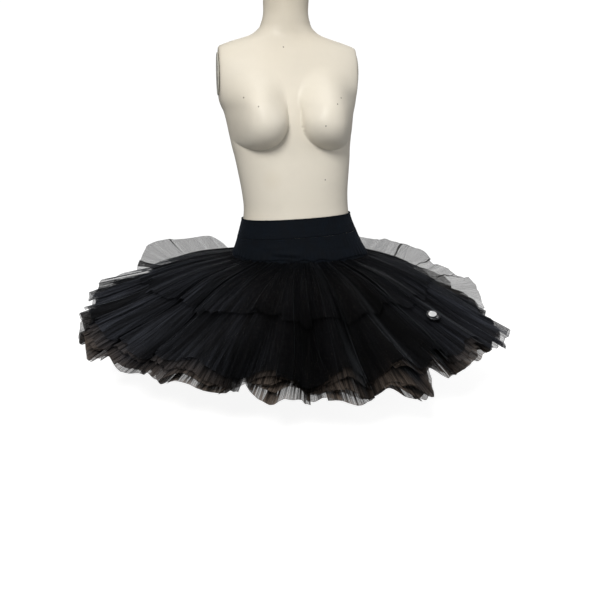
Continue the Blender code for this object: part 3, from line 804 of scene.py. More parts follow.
def net_base(tier, index, cloth_angle, out, hem_offset):
    """A tier without its pleats: straight columns from the seam to the hem, whose height falls by a
    parabola, with one cosine for the folds, less the valleys and what the tier sinks. The loops rise on
    its outer third by a power of the distance, and the folds and valleys are smoothed out under them."""
    angle = place_angle(cloth_angle)
    outside = FABRIC_GAP + KNIT_THICKNESS + NET_SEAM_GAP
    seam = form_points(np.full_like(angle, tier.seam), angle, outside)[..., :2]
    direction = np.stack([np.sin(angle), -np.cos(angle)], axis=-1)
    centre = np.array([RIM_CENTRE_X, 0.0])
    lower = index / (len(NET_TIERS) - 1)
    reach_share = (1 - lower) * round_rim(angle, "upper_reach") + lower * round_rim(angle, "lower_reach")
    pulled_in = 0.85 * HEM_PULL * valleys(angle, np.ones_like(angle))
    lay = NET_LAYS[index]
    front = 0.5 + 0.5 * np.cos(angle)
    trim = lay.trim + lay.front_extra * front
    reach = tier.reach * (reach_share + hem_wander(angle, index)) - pulled_in + hem_offset + trim * out
    to_hem = centre + reach[..., None] * direction - seam
    to_rim = centre + RIM_REACH * direction - seam
    level = seam + out[..., None] * to_hem
    length = np.linalg.norm(to_hem, axis=-1)
    share = out * length / np.linalg.norm(to_rim, axis=-1)
    fall = (1 - PROFILE_BEND) * share + PROFILE_BEND * share**2
    uneven = 0.78 + 0.22 * np.sin(4 * cloth_angle + 0.5)
    depth = FOLD_AT_SEAM + (tier.deepest_fold - FOLD_AT_SEAM) * share
    folds = depth * uneven * np.cos(FOLDS * cloth_angle + lay.fold_place * FOLD_DRIFT)
    hem_rise = round_rim(angle, "rise") + tier.drop * round_rim(angle, "fan")
    pressed = valleys(angle, share)
    loops = back_loops(tier.node, angle)
    smooth = 1 - 0.9 * ease(np.clip(loops / 0.02, 0, 1)) * ease((out - 0.25) / 0.45)
    looped = loops * np.maximum(0.0, (out - 0.70) / 0.30) ** 1.4
    settled = lay.settle * (0.15 + 0.85 * front) * ease((share - 0.20) / 0.6)
    rise = tier.seam + (hem_rise - tier.seam) * fall + folds * smooth - pressed * smooth - settled
    points = np.concatenate([level, (WAIST_HEIGHT + rise + looped)[..., None]], axis=-1)
    return points, angle, length


def pleat_centres(pleats, chance):
    """Where the cloth turns back: one pleat in each large valley, and others shared out evenly between
    those, each moved by up to a third of a pleat. Also says which ones are the valleys' own."""
    turns = np.sort(np.radians([valley.turn % 360 for valley in VALLEYS]))
    ring = np.linspace(-0.3, math.tau + 0.3, 4000)
    anchors = np.interp(turns, place_angle(ring), ring)
    gaps = np.diff(np.append(anchors, anchors[0] + math.tau))
    centres, deep = [], []
    for anchor, gap in zip(anchors, gaps):
        between = max(0, round(gap / (math.tau / pleats)) - 1)
        spots = (np.arange(1, between + 1) + chance.uniform(-0.33, 0.33, between)) / (between + 1)
        centres += [anchor, *(anchor + gap * spots)]
        deep += [1.0] + [0.0] * between
    return np.array(centres), np.array(deep)


def pieced_hem(longer, middles, flaps, panel, snips):
    """One length for each panel of net, with its flaps' lengths and its gores' snips added. Where the
    cloth is folded back, it keeps the longer of the two panels that meet there."""
    for flap in flaps:
        longer = longer + flap.extra * ((middles > flap.turn_a) & (middles < flap.turn_b))
    folded = np.tile((PLEAT_STEPS > 0.40) & (PLEAT_STEPS < 0.60), len(longer))
    both = np.repeat(np.maximum(longer, np.roll(longer, -1)), len(PLEAT_STEPS))
    return np.where(folded, both, longer[panel] + snips)


def flowing_hem(longer, middles, flaps, turn):
    """Lengths on straight lines from one panel's middle to the next, plus each flap's times an S-shaped
    ramp of three degrees at either side."""
    flowing = np.interp(turn, middles, longer, period=360)
    for flap in flaps:
        sides = ease((turn - flap.turn_a) / 3 + 0.5) * ease((flap.turn_b - turn) / 3 + 0.5)
        flowing = flowing + flap.extra * sides
    return flowing


def pleated_net(tier, index, pleats, lift, overlap):
    """A tier with its pleats: its points, its flat coordinates and its marks.

    Across each pleat the cloth runs forward, turns back under itself and runs on: its angle is a
    straight line plus the overlap times a zigzag, and it is lifted off the tier along the tier's upward
    normal by a second zigzag. Overlap and lift grow outwards, each pleat at its own rate, and both fade
    out on the loops. Fine gathers at the seam are a sine that dies away outwards. The marks are the way
    to the hem, each gore's tone, how far the cloth is drawn into pleats, and how deep it is in a valley.
    """
    lay = NET_LAYS[index]
    chance = np.random.default_rng(PLEAT_SEED + lay.pleats_of)
    centres, deep = pleat_centres(pleats, chance)
    pleats = len(centres)
    before = np.roll(centres, 1) - math.tau * (np.arange(pleats) == 0)
    starts = centres - (centres - before) * chance.uniform(0.42, 0.58, pleats)
    ends = np.roll(starts, -1) + math.tau * (np.arange(pleats) == pleats - 1)
    steps = len(PLEAT_STEPS)
    columns = pleats * steps
    first, second = np.clip(2 * PLEAT_STEPS, 0, 1), np.clip(2 * PLEAT_STEPS - 1, 0, 1)
    halves = (centres - starts)[:, None] * first, (ends - centres)[:, None] * second
    base_angle = (starts[:, None] + halves[0] + halves[1]).ravel()
    zigzag = np.interp(PLEAT_STEPS, (0, 0.42, 0.58, 1), (0, 1, -1, 0))
    stacked = np.interp(PLEAT_STEPS, (0, 0.28, 0.44, 0.56, 0.72, 1), (0, 0.30, 1, -1, -0.30, 0))
    across = np.tile(zigzag, pleats)
    side = np.where(chance.uniform(size=pleats) < 0.62, 1.0, -1.0)
    above = (side[:, None] * stacked).ravel()
    across = (np.roll(across, 1) + 2 * across + np.roll(across, -1)) / 4
    above = (np.roll(above, 1) + 2 * above + np.roll(above, -1)) / 4

    seam_lap = np.repeat(chance.uniform(0.007, 0.016, pleats), steps)
    hem_lap = np.repeat(chance.uniform(0.15, 1.9, pleats) ** 1.2 * overlap / RIM_REACH, steps)
    rate = np.repeat(chance.uniform(0.5, 1.6, pleats), steps)
    wave = np.repeat(chance.uniform(0, math.tau, pleats), steps)
    height = np.repeat(chance.uniform(0.45, 1.15, pleats) * lift * (1 + 0.9 * deep), steps)
    crown = np.repeat(chance.uniform(0.0003, 0.0032, pleats + 1)[:-1], steps)
    scallop = np.repeat(chance.uniform(0.0002, 0.0012, pleats), steps)
    panel = (np.repeat(np.arange(pleats), steps) + np.tile(PLEAT_STEPS > 0.5, pleats)) % pleats
    own = np.random.default_rng(HEM_SEED + index)
    middles = turn_away(place_angle(starts), 0)
    flaps = [flap for flap in FLAPS if flap.first <= index + 1 <= flap.last]
    gore = np.searchsorted(GORE_EDGES, PLEAT_STEPS)
    gores = (pleats, len(GORE_EDGES) + 1)
    longer = own.uniform(-1.0, 1.0, pleats) * lay.panel_hem
    snips = own.uniform(-1.0, 1.0, gores)[:, gore].ravel() * SNIP
    if lay.pleats_of > 1:
        longer = flowing_hem(longer, middles, flaps, turn_away(place_angle(base_angle + hem_lap * across), 0))
    else:
        longer = pieced_hem(longer, middles, flaps, panel, snips)
    tones = own.uniform(0.0, 1.0, pleats)[panel] * 0.5 + own.uniform(0.0, 0.5, gores)[:, gore].ravel()

    out = 1 - (1 - np.linspace(0, 1, NET_ROWS)) ** 1.12
    s = out[:, None] * tier.reach / RIM_REACH
    lap = seam_lap + (hem_lap - seam_lap) * s**rate
    lap = lap * (1 + 0.22 * np.sin(5 * s + wave))
    near = np.clip(back_loops(tier.node, place_angle(base_angle)) / 0.02, 0, 1)
    calm = 1.0 - near * ease((out[:, None] - 0.30) / 0.35)
    drift = 0.010 * np.sin(9 * base_angle + 3.1 * s + lay.pleats_of)
    drift = drift + 0.007 * np.sin(17 * base_angle - 4.2 * s + 2)
    cloth_angle = base_angle + drift * s + calm * lap * across
    hem_offset = longer + scallop * np.cos(math.tau * np.tile(PLEAT_STEPS, pleats))
    out_grid = np.broadcast_to(out[:, None], cloth_angle.shape)
    points, angle, length = net_base(tier, index, cloth_angle, out_grid, hem_offset * out_grid**3)

    inward = np.gradient(points, axis=0)
    flat_run = np.linalg.norm(inward[..., :2], axis=-1)
    slope = inward[..., 2] / np.maximum(flat_run, 1e-6)
    up = 1 / np.sqrt(1 + slope**2)
    direction = np.stack([np.sin(angle), -np.cos(angle)], axis=-1)
    raised = height * (0.30 + 0.70 * s**0.7) * (1 + 0.35 * np.sin(4 * s + 2 * wave)) * above * calm
    count = np.arange(columns) / columns * math.tau
    gathers = 0.0013 * np.sin(150 * count + 3 * np.sin(5 * count)) * np.exp(-s / 0.09)
    soft = 0.0007 * np.sin(96 * count + 6 * s + index) * np.sin(31 * count + index) * s
    crowned = crown * (0.5 + 0.5 * np.cos(math.tau * np.tile(PLEAT_STEPS, pleats))) * s * calm
    lifted = raised + gathers + soft + crowned + crumple(tier, angle, s)
    points[..., :2] += (-(lifted * up * slope))[..., None] * direction
    points[..., 2] += lifted * up

    edge = np.linalg.norm(np.diff(points, axis=1, append=points[:, :1]), axis=-1).mean(axis=0)
    along = np.concatenate([[0.0], np.cumsum(edge)[:-1]])
    u = np.broadcast_to(along, angle.shape)
    marks = {
        "to_hem": (1 - out_grid) * length,
        "tone": np.broadcast_to(tones, angle.shape),
        "drawn": np.broadcast_to(calm, angle.shape),
        "hollow": np.clip(valleys(angle, s) / 0.016, 0.0, 1.0) * calm,
    }
    return points, np.stack([u, out_grid * length], axis=-1), marks


# Where the net is crushed into many small creases: the place's turn and half width in degrees, the
# creases' depth and the share of the way out from which they start
Crush = namedtuple("Crush", "turn half_width depth start")
CRUSHED = {
    "net_tier_1": [Crush(132, 22, 0.0016, 0.35), Crush(-120, 16, 0.0008, 0.5)],
    "net_tier_2": [
        Crush(128, 30, 0.0040, 0.30),
        Crush(98, 16, 0.0030, 0.45),
        Crush(-95, 12, 0.0012, 0.6),
        Crush(178, 14, 0.0010, 0.5),
    ],
    "net_tier_3": [Crush(118, 24, 0.0018, 0.45), Crush(70, 12, 0.0012, 0.6), Crush(-60, 12, 0.0010, 0.6)],
}


def crumple(tier, angle, share):
    """Creases crossing each other: four sets of folded sines, one less twice the size of each sine,
    laid at slants over the cloth, times a bell round each crushed place."""
    total = np.zeros(np.broadcast(angle, share).shape)
    for crush in CRUSHED.get(tier.node, []):
        zone = np.exp(-((turn_away(angle, crush.turn) / crush.half_width) ** 2))
        zone = zone * ease((share - crush.start) / 0.3)
        lines = (
            (0.5 - np.abs(np.sin(14 * angle + 9 * share)))
            + (0.5 - np.abs(np.sin(9 * angle - 17 * share + 1.3)))
            + 0.7 * (0.5 - np.abs(np.sin(23 * angle + 21 * share + 2.1)))
            + 0.5 * (0.5 - np.abs(np.sin(31 * angle - 12 * share + 0.4)))
        )
        total = total + crush.depth * zone * lines
    return total


def tube(path, radius, sides, closed=True):
    """A round thread along a closed or open path: a circle of the radius round each point, in the plane
    of the path's two normals, which are the upright and its cross product with the path."""
    ahead = np.roll(path, -1, axis=0) - np.roll(path, 1, axis=0) if closed else np.gradient(path, axis=0)
    ahead /= np.linalg.norm(ahead, axis=1, keepdims=True)
    sideways = np.cross(ahead, (0.0, 0.0, 1.0))
    sideways /= np.maximum(np.linalg.norm(sideways, axis=1, keepdims=True), 1e-9)
    upright = np.cross(sideways, ahead)
    turn = whole_turn(sides)
    ring = np.cos(turn)[:, None, None] * sideways + np.sin(turn)[:, None, None] * upright
    return path + np.asarray(radius)[..., None] * ring if np.ndim(radius) else path + radius * ring


def stitch_mesh(name, centres, along, outward, length, radius):
    """Stitches: a capsule of six rings of six points, whose radius is the root of one less the cube of the
    way to its ends, set at each centre along the seam and half sunk into the cloth."""
    rings, sides = 6, 6
    t = np.linspace(-1, 1, rings)
    profile = np.sqrt(np.clip(1 - np.abs(t) ** 3, 0.02, 1))
    turn = whole_turn(sides)
    across = np.cross(along, outward)
    local_a = (t * length / 2)[None, :, None, None] * along[:, None, None, :]
    ring = np.cos(turn)[None, None, :, None] * across[:, None, None, :] + (
        np.sin(turn)[None, None, :, None] * outward[:, None, None, :]
    )
    sag = (0.35 * radius * (1 - t**2))[None, :, None, None] * outward[:, None, None, :]
    points = centres[:, None, None, :] + local_a + radius * profile[None, :, None, None] * ring + sag
    quads = grid_faces(rings, sides, False, True)
    block = rings * sides
    caps = [list(range(sides - 1, -1, -1)), list(range(block - sides, block))]
    offsets = np.arange(len(centres)) * block
    faces = (quads[None] + offsets[:, None, None]).reshape(-1, 4).tolist()
    for cap in caps:
        faces += (np.array(cap)[None] + offsets[:, None]).tolist()
    mesh = bpy.data.meshes.new(name)
    mesh.from_pydata(points.reshape(-1, 3), [], faces)
    mesh.update()
    mesh.polygons.foreach_set("use_smooth", np.ones(len(mesh.polygons), bool))
    thing = bpy.data.objects.new(name, mesh)
    bpy.context.scene.collection.objects.link(thing)
    return thing


def make_outward(thing):
    """Turns a closed mesh's faces outwards, by the sign of its volume."""
    mesh = thing.data
    mesh.calc_loop_triangles()
    corners = np.empty(len(mesh.loop_triangles) * 3, np.int32)
    mesh.loop_triangles.foreach_get("vertices", corners)
    points = np.empty(len(mesh.vertices) * 3, np.float64)
    mesh.vertices.foreach_get("co", points)
    a, b, c = points.reshape(-1, 3)[corners.reshape(-1, 3)].transpose(1, 0, 2)
    if np.einsum("ij,ij->i", a, np.cross(b, c)).sum() < 0:
        mesh.flip_normals()
    return thing


# The form's columns, how far its neck's and its arm ends' edges are rounded, and how its caps' rings shrink
FORM_COLUMNS, NECK_EDGE, ARM_END_EDGE, CAP_RINGS = 256, 0.0035, 0.0016, (0.97, 0.80, 0.55, 0.30, 0.10)
# An arm plate's radii and heights from its middle out and round its back, as shares of the whole
PLATE_COLUMNS, PLATE_THICKNESS = 96, 0.002
PLATE_PROFILE = (
    (0.02, 1.0), (0.12, 1.0), (0.14, 0.95), (0.155, 0.62), (0.30, 0.60), (0.60, 0.60), (0.86, 0.62),
    (0.90, 0.72), (0.94, 0.92), (0.975, 0.98), (1.0, 0.80), (1.0, 0.15), (0.97, 0.0), (0.6, 0.0), (0.1, 0.0),
)


class TUTU_OT_form(bpy.types.Operator):
    """The display form's painted shell and its two arm plates"""

    bl_idname = "tutu.form"
    bl_label = "Display form"

    def execute(self, context):
        colours = context.scene.tutu_colours
        self.shell(form_finish(colours))
        finish = plate_finish(colours)
        for side, node in ((-1, "arm_plate_right"), (1, "arm_plate_left")):
            self.plate(side, node, finish)
        return {"FINISHED"}

    def shell(self, finish):
        """Rings up the form, closest at the bust, with a rounded neck edge: the rise of its rings is one
        less the cosine of an even run. Flat rings that shrink to the middle close both ends."""
        foot, neck = FORM_SECTIONS[0].rise, FORM_SECTIONS[-1].rise
        rises = np.concatenate([
            [foot],
            foot + 0.005 * np.linspace(0.2, 0.8, 3),
            np.linspace(foot + 0.005, 0.120, 90),
            np.linspace(0.1215, 0.235, 76),
            np.linspace(0.238, neck - 0.010, 74),
            neck - NECK_EDGE + NECK_EDGE * (1 - np.cos(np.linspace(0, math.pi / 2, 5))),
        ])
        rises = np.unique(np.round(rises, 6))
        grid_rise, grid_angle = np.meshgrid(rises, whole_turn(FORM_COLUMNS), indexing="ij")
        points = form_points(grid_rise, grid_angle, arm_edge=ARM_END_EDGE)
        centres = points.mean(axis=1, keepdims=True)
        top = [centres[-1] + (points[-1] - centres[-1]) * share for share in CAP_RINGS]
        bottom = [centres[0] + (points[0] - centres[0]) * share for share in CAP_RINGS[::-1]]
        points = np.concatenate([bottom, points, top])
        shell = surface("form_shell", points)
        close_ends(shell, *points.shape[:2])
        dress(make_outward(shell), finish, "form", "form")

    def plate(self, side, node, finish):
        """An oval disc turned from a profile of radii and heights, with a raised middle and rim."""
        radii, heights = np.array(PLATE_PROFILE).T[:, :, None]
        turn = whole_turn(PLATE_COLUMNS)
        y = float(section(ARM_PLATE_RISE, "centre_y")) + 0.5 * ARM_PLATE_DEPTH * radii * np.sin(turn)
        z = WAIST_HEIGHT + ARM_PLATE_RISE + 0.5 * ARM_PLATE_HEIGHT * radii * np.cos(turn)
        off = ARM_END_X + SEAM_GAP + PLATE_THICKNESS * heights + 0 * turn
        x = float(section(ARM_PLATE_RISE, "centre_x")) + side * off
        disc = surface(node + "_disc", np.stack([x, y, z], axis=-1))
        close_ends(disc, *x.shape)
        dress(make_outward(disc), finish, "arm_plate", node)


# The knit's columns and rows, and how near it comes to the form
KNIT_COLUMNS, PANEL_ROWS, YOKE_ROWS, CLOSEST = 400, 22, 30, 0.0004
# The rises of the band's two rows of stitches and of a side row's ends, how far a side row is from its
# seam, how long the rows are, how wide the hip is there, what a stitch with its gap takes, counted in
# stitches, and how thick the thread is
BAND_STITCH_RISES, SIDE_STITCH_RISES, BESIDE_SEAM = (-0.0286, -0.0312), (-0.0345, -0.0665), 0.0022
BAND_ROW_LENGTH, SIDE_ROW_LENGTH, HIP_RADIUS = 0.72, 0.037, 0.13
BAND_PITCH, SIDE_PITCH, THREAD_RADIUS = 1.45, 1.3, 0.00035


class TUTU_OT_knit(bpy.types.Operator):
    """The waistband with its rolled edge, the basque's front and back, and the yoke under the net"""

    bl_idname = "tutu.knit"
    bl_label = "Waistband and basque"

    def execute(self, context):
        colours = context.scene.tutu_colours
        band_knit = knit_finish("waistband_knit", colours, 0.0011, 1.05)
        body_knit = knit_finish("basque_knit", colours, 0.0009, 1.0)
        angle = whole_turn(KNIT_COLUMNS)
        gap = SEAM_GAP / 2 / float(section(BASQUE_RISE[1], "half_width"))
        front = np.linspace(-math.pi / 2 + gap, math.pi / 2 - gap, KNIT_COLUMNS // 2)
        self.panel("waistband", WAISTBAND_RISE, angle, True, WAISTBAND_THICKNESS, band_knit)
        self.panel("basque_front", BASQUE_RISE, front, False, KNIT_THICKNESS, body_knit)
        self.panel("basque_back", BASQUE_RISE, front + math.pi, False, KNIT_THICKNESS, body_knit)
        self.yoke(angle[::4], body_knit)
        self.rolled_edge(angle, band_knit)
        self.stitching(context.scene.tutu_sizes.stitch, thread_finish(colours))
        return {"FINISHED"}

    def cloth(self, node, points, rise, closed, rises, thickness, finish):
        """Gives a worn grid its wall and its flat coordinates: its run along the first row, and its rise."""
        run = np.linalg.norm(np.diff(points[0], axis=0), axis=1)
        u = np.concatenate([[0.0], np.cumsum(run)]) + 0 * rise
        thing = surface(node + "_cloth", points, False, closed, np.stack([u, rise], axis=-1))
        wall = thing.modifiers.new("wall", "SOLIDIFY")
        wall.thickness = thickness - SEAM_GAP
        wall.offset = 1
        dress(thing, finish, "knit", node)

    def panel(self, node, rises, angle, closed, thickness, finish):
        """A grid on the form, pressed in along the creases. The band swells by a half sine between its
        edges. A basque panel meets the band with a bell, is puckered by a sine where the net is sewn on,
        and its lower edge waves."""
        share = np.linspace(1, 0, PANEL_ROWS)[:, None]
        rise = rises[0] + (rises[1] - rises[0]) * share + 0 * angle
        turn = np.broadcast_to(angle, rise.shape)
        swell = 0.0007 * np.sin(math.pi * share) if closed else 0.0
        tension = 0.00022 * np.sin(96 * turn + 4 * np.sin(3 * turn))
        tension = tension * (0.5 + 0.5 * np.sin(5 * turn + 40 * rise))
        meets_band = 0.0 if closed else 0.0010 * np.exp(-(((BASQUE_RISE[0] - rise) / 0.006) ** 2))
        gathered = 0.0 if closed else ease((-0.055 - rise) / 0.017)
        pucker = 0.0009 * np.sin(74 * turn + 3 * np.sin(5 * turn)) * gathered
        rise = rise - 0.0020 * gathered**2 * (1 + np.sin(13 * turn + 2 * np.sin(4 * turn)))
        lapped = 0.0014 * gathered
        outside = FABRIC_GAP + swell + tension + meets_band + lapped + pucker + CLOSEST
        points = worn_points(rise, turn, np.maximum(outside - 0.7 * creases(rise, turn), CLOSEST))
        self.cloth(node, points, rise, closed, rises, thickness, finish)

    def yoke(self, angle, finish):
        """The strip that the tiers are sewn to, with a low bell-shaped welt along each tier's seam."""
        rise = np.linspace(YOKE_RISE[1], YOKE_RISE[0], YOKE_ROWS)[:, None] + 0 * angle
        turn = np.broadcast_to(angle, rise.shape)
        welts = sum(0.0003 * np.exp(-0.5 * ((rise - tier.seam) / 0.0012) ** 2) for tier in NET_TIERS)
        points = form_points(rise, turn, FABRIC_GAP + welts)
        self.cloth("hip_yoke", points, rise, True, YOKE_RISE, KNIT_THICKNESS, finish)

    def rolled_edge(self, angle, finish):
        """The waistband's turned top edge: a tube whose radius and height ripple with the elastic."""
        rise = WAISTBAND_RISE[0] + 0.0004 + 0.00025 * np.sin(150 * angle)
        path = worn_points(rise, angle, FABRIC_GAP + 0.0016)
        radius = 0.00155 + 0.0002 * np.sin(150 * angle + 1.0) + 0.0001 * np.sin(31 * angle)
        points = tube(path, radius, 10)
        v = np.linspace(0, 0.009, 10)[:, None] + 0 * angle
        u = np.cumsum(np.full(len(angle), 0.0017)) + 0 * v
        edge = surface("waistband_roll", points, True, True, np.stack([u, v], axis=-1))
        dress(make_outward(edge), finish, "knit")

    def stitching(self, length, finish):
        """Rows of stitches: two round the band's lower edge and two down each side seam."""
        spots = []
        for rise in BAND_STITCH_RISES:
            count = int(BAND_ROW_LENGTH / (length * BAND_PITCH))
            off = FABRIC_GAP + WAISTBAND_THICKNESS + SEAM_GAP
            spots.append((np.full(count, rise), whole_turn(count), off, False))
        for side in (-1, 1):
            for beside in (-BESIDE_SEAM, BESIDE_SEAM):
                count = int(SIDE_ROW_LENGTH / (length * SIDE_PITCH))
                rise = np.linspace(*SIDE_STITCH_RISES, count)
                turn = np.full(count, side * math.pi / 2 + beside / HIP_RADIUS)
                spots.append((rise, turn, FABRIC_GAP + KNIT_THICKNESS + SEAM_GAP, True))
        centres, ways, outs = [], [], []
        for rise, angle, off, upright in spots:
            here = worn_points(rise, angle, off)
            ahead = worn_points(rise, angle + 0.002, off) - here
            up = worn_points(rise + 0.001, angle, off) - here
            ahead /= np.linalg.norm(ahead, axis=1, keepdims=True)
            up /= np.linalg.norm(up, axis=1, keepdims=True)
            outward = np.cross(ahead, up)
            outward /= np.linalg.norm(outward, axis=1, keepdims=True)
            centres.append(here)
            ways.append(up if upright else ahead)
            outs.append(outward)
        rows = (np.concatenate(made) for made in (centres, ways, outs))
        stitches = stitch_mesh("seam_stitches", *rows, length, THREAD_RADIUS)
        dress(make_outward(stitches), finish, "knit")


class TUTU_OT_net(bpy.types.Operator):
    """Seven gathered and pleated tiers of stiff net, laid from the hem to the seam so that they face up"""

    bl_idname = "tutu.net"
    bl_label = "Net tiers"

    def execute(self, context):
        sizes, colours = context.scene.tutu_sizes, context.scene.tutu_colours
        for index, tier in enumerate(NET_TIERS):
            pleats = sizes.pleats + NET_LAYS[index].more_pleats
            points, uv, marks = pleated_net(tier, index, pleats, sizes.pleat_lift, sizes.pleat_overlap)
            marks = {key: values[::-1] for key, values in marks.items()}
            cloth = surface(tier.node + "_cloth", points[::-1], False, True, uv[::-1], marks)
            finish = net_finish(
                "net_%d" % (index + 1), colours, sizes.mesh_cell, GAUZE_COVER[index], PAINTED_HEM_LIGHT_SHARES[index]
            )
            dress(cloth, finish, "net", tier.node)
        return {"FINISHED"}


# The stone's rings: radius, height over its back and turn in steps. Its setting's wall: radius and height
STONE_FACETS, STONE_RADIUS, SETTING_BEADS = 8, 0.0114, 24
STONE_CUT = (
    (0.001, 0.0052, 0.0), (0.0068, 0.0052, 0.0), (0.0092, 0.0040, 0.5), (0.0112, 0.0024, 0.0),
    (0.0114, 0.0016, 0.0), (0.0108, 0.0008, 0.0), (0.001, 0.0006, 0.0),
)
SETTING_WALL = (
    (0.0103, 0.0006), (0.0123, 0.0003), (0.0132, 0.0007), (0.0134, 0.0016), (0.0129, 0.0026),
    (0.0119, 0.0031), (0.0113, 0.0028), (0.0115, 0.0018),
)


class TUTU_OT_stone(bpy.types.Operator):
    """The single stone in its dark setting"""

    bl_idname = "tutu.stone"
    bl_label = "Stone"

    def execute(self, context):
        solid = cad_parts["stone"]
        co = np.empty(len(solid.data.vertices) * 3)
        solid.data.vertices.foreach_get("co", co)
        co = co.reshape(-1, 3)
        middle = co.mean(axis=0)
        normal = np.linalg.svd(co - middle)[2][2]
        normal *= np.sign(normal[2])
        across = np.cross(normal, (0.0, 1.0, 0.0))
        across /= np.linalg.norm(across)
        back = middle + normal * ((co - middle) @ normal).min()
        axes = (across, np.cross(normal, across), normal)

        turn = whole_turn(2 * STONE_FACETS)
        cut = []
        for radius, height, shift in STONE_CUT:
            facet = 1 + (0.035 * np.cos(STONE_FACETS * turn) if radius < 0.010 else 0.0)
            cut.append(self.ring(back, axes, radius * facet, turn + shift * turn[1], height))
        stone = surface("stone_cut", np.array(cut))
        close_ends(stone, len(cut), len(turn))
        stone.data.polygons.foreach_set("use_smooth", np.zeros(len(stone.data.polygons), bool))
        finish = stone_finish([float(part) for part in middle], STONE_RADIUS)
        dress(make_outward(stone), finish, "stone", "stone")

        turn = whole_turn(3 * SETTING_BEADS)
        beaded = 1 + 0.012 * np.cos(SETTING_BEADS * turn)
        wall = [self.ring(back, axes, radius * beaded, turn, height) for radius, height in SETTING_WALL]
        setting = surface("stone_setting", np.array(wall), True, True)
        dress(make_outward(setting), setting_finish(), "stone")
        return {"FINISHED"}

    def ring(self, back, axes, radius, turn, height):
        """A ring round the stone's axis, at a height over its back: a cosine and a sine of the radius."""
        across, ahead, normal = axes
        ring = back + (radius * np.cos(turn))[:, None] * across + (radius * np.sin(turn))[:, None] * ahead
        return ring + height * normal


# Each light's name, place, what it is aimed at, size, power and colour
STUDIO_LIGHTS = (
    ("key", (-1.0, -2.2, 2.0), (0.0, 0.0, 0.50), 1.1, 68.0, (1.0, 0.985, 0.955)),
    ("top", (0.2, -0.1, 3.0), (0.0, 0.0, 0.3), 1.4, 14.0, (1.0, 1.0, 1.0)),
    ("fill", (2.2, -1.6, 1.3), (0.0, 0.0, 0.5), 1.6, 14.0, (0.99, 0.99, 1.0)),
    ("back", (0.5, 2.6, 1.4), (0.0, 0.0, 0.5), 1.8, 14.0, (0.99, 0.99, 1.0)),
)
# The sky's strength as a light and as it is seen, and the floor's innermost ring and radius
SKY_LIGHT, SKY_SEEN, FLOOR_MIDDLE, FLOOR_RADIUS = 0.15, 1.05, 0.001, 1.3
# The camera's turn round the form, its distance and height, and how many degrees it looks down
CAMERA_AZIMUTH, CAMERA_AWAY, CAMERA_HEIGHT, CAMERA_DIPS = -9.5, 1.60, 0.535, 13.6


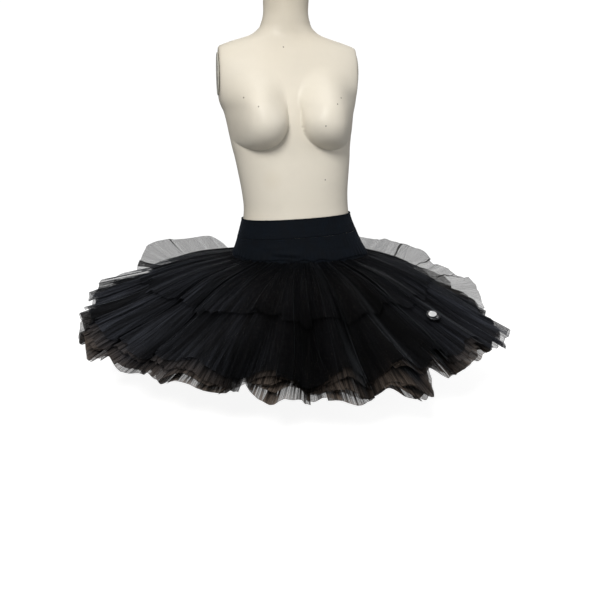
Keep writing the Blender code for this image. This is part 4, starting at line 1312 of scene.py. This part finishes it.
class TUTU_OT_stage(bpy.types.Operator):
    """White floor, soft studio lights and the camera at the photograph's angle"""

    bl_idname = "tutu.stage"
    bl_label = "Stage"

    def execute(self, context):
        scene = context.scene
        reach = FLOOR_MIDDLE + FLOOR_RADIUS * np.linspace(0.0, 1.0, 40)[:, None] ** 2
        turn = whole_turn(64)
        points = np.stack([reach * np.cos(turn), reach * np.sin(turn), 0 * reach + 0 * turn], axis=-1)
        floor = surface("studio_floor", points)
        floor.data.materials.append(floor_finish(scene.tutu_colours))
        self.sky(scene)
        for name, spot, aim, size, power, colour in STUDIO_LIGHTS:
            lamp = bpy.data.lights.new(name, "AREA")
            lamp.shape = "DISK"
            lamp.size = size
            lamp.energy = power
            lamp.color = colour
            way = np.array(aim) - np.array(spot)
            flat = math.hypot(way[0], way[1])
            turned = (math.atan2(flat, -way[2]), 0.0, math.atan2(way[1], way[0]) - math.pi / 2)
            self.put(scene, name, lamp, spot, turned)
        camera = bpy.data.cameras.new("photo_camera")
        camera.lens, camera.sensor_width = 45.0, 36.0
        azimuth = math.radians(CAMERA_AZIMUTH)
        spot = (CAMERA_AWAY * math.sin(azimuth), -CAMERA_AWAY * math.cos(azimuth), CAMERA_HEIGHT)
        turned = (math.radians(90 - CAMERA_DIPS), 0.0, azimuth)
        scene.camera = self.put(scene, "photo_camera", camera, spot, turned)
        scene.view_settings.view_transform = "Standard"
        return {"FINISHED"}

    def put(self, scene, name, data, spot, turned):
        """Adds a light or a camera to the scene."""
        holder = bpy.data.objects.new(name, data)
        holder.location = spot
        holder.rotation_euler = turned
        scene.collection.objects.link(holder)
        return holder

    def sky(self, scene):
        """White all round: dim as a light, bright as the backdrop."""
        world = bpy.data.worlds.new("studio")
        scene.world = world
        world.use_nodes = True
        tree = world.node_tree
        light, seen = tree.nodes["Background"], tree.nodes.new("ShaderNodeBackground")
        for shade, strength in ((light, SKY_LIGHT), (seen, SKY_SEEN)):
            shade.inputs["Color"].default_value = (1.0, 1.0, 1.0, 1.0)
            shade.inputs["Strength"].default_value = strength
        path = tree.nodes.new("ShaderNodeLightPath")
        mix = tree.nodes.new("ShaderNodeMixShader")
        tree.links.new(path.outputs["Is Camera Ray"], mix.inputs[0])
        tree.links.new(light.outputs[0], mix.inputs[1])
        tree.links.new(seen.outputs[0], mix.inputs[2])
        tree.links.new(mix.outputs[0], tree.nodes["World Output"].inputs["Surface"])


OPERATORS = (TUTU_OT_form, TUTU_OT_knit, TUTU_OT_net, TUTU_OT_stone, TUTU_OT_stage)


class TUTU_PT_panel(bpy.types.Panel):
    """Lists the tutu's pieces, sizes and colours"""

    bl_idname = "TUTU_PT_panel"
    bl_label = "Practice tutu"
    bl_space_type = "VIEW_3D"
    bl_region_type = "UI"
    bl_category = "Tutu"

    def draw(self, context):
        layout = self.layout
        for operator in OPERATORS:
            layout.operator(operator.bl_idname)
        for group in (context.scene.tutu_sizes, context.scene.tutu_colours):
            box = layout.box()
            for key in group.__annotations__:
                box.prop(group, key)


CLASSES = (TutuSizes, TutuColours, *OPERATORS, TUTU_PT_panel)


def register():
    """Registers the classes, and hangs the sizes and colours on the scene."""
    for made in CLASSES:
        bpy.utils.register_class(made)
    bpy.types.Scene.tutu_sizes = PointerProperty(type=TutuSizes)
    bpy.types.Scene.tutu_colours = PointerProperty(type=TutuColours)


def unregister():
    """Takes all of it away again."""
    del bpy.types.Scene.tutu_colours
    del bpy.types.Scene.tutu_sizes
    for made in reversed(CLASSES):
        bpy.utils.unregister_class(made)


def main():
    """Builds the pieces in order."""
    register()
    bpy.ops.tutu.form()
    bpy.ops.tutu.knit()
    bpy.ops.tutu.net()
    bpy.ops.tutu.stone()
    bpy.ops.tutu.stage()


if __name__ == "__main__":
    main()
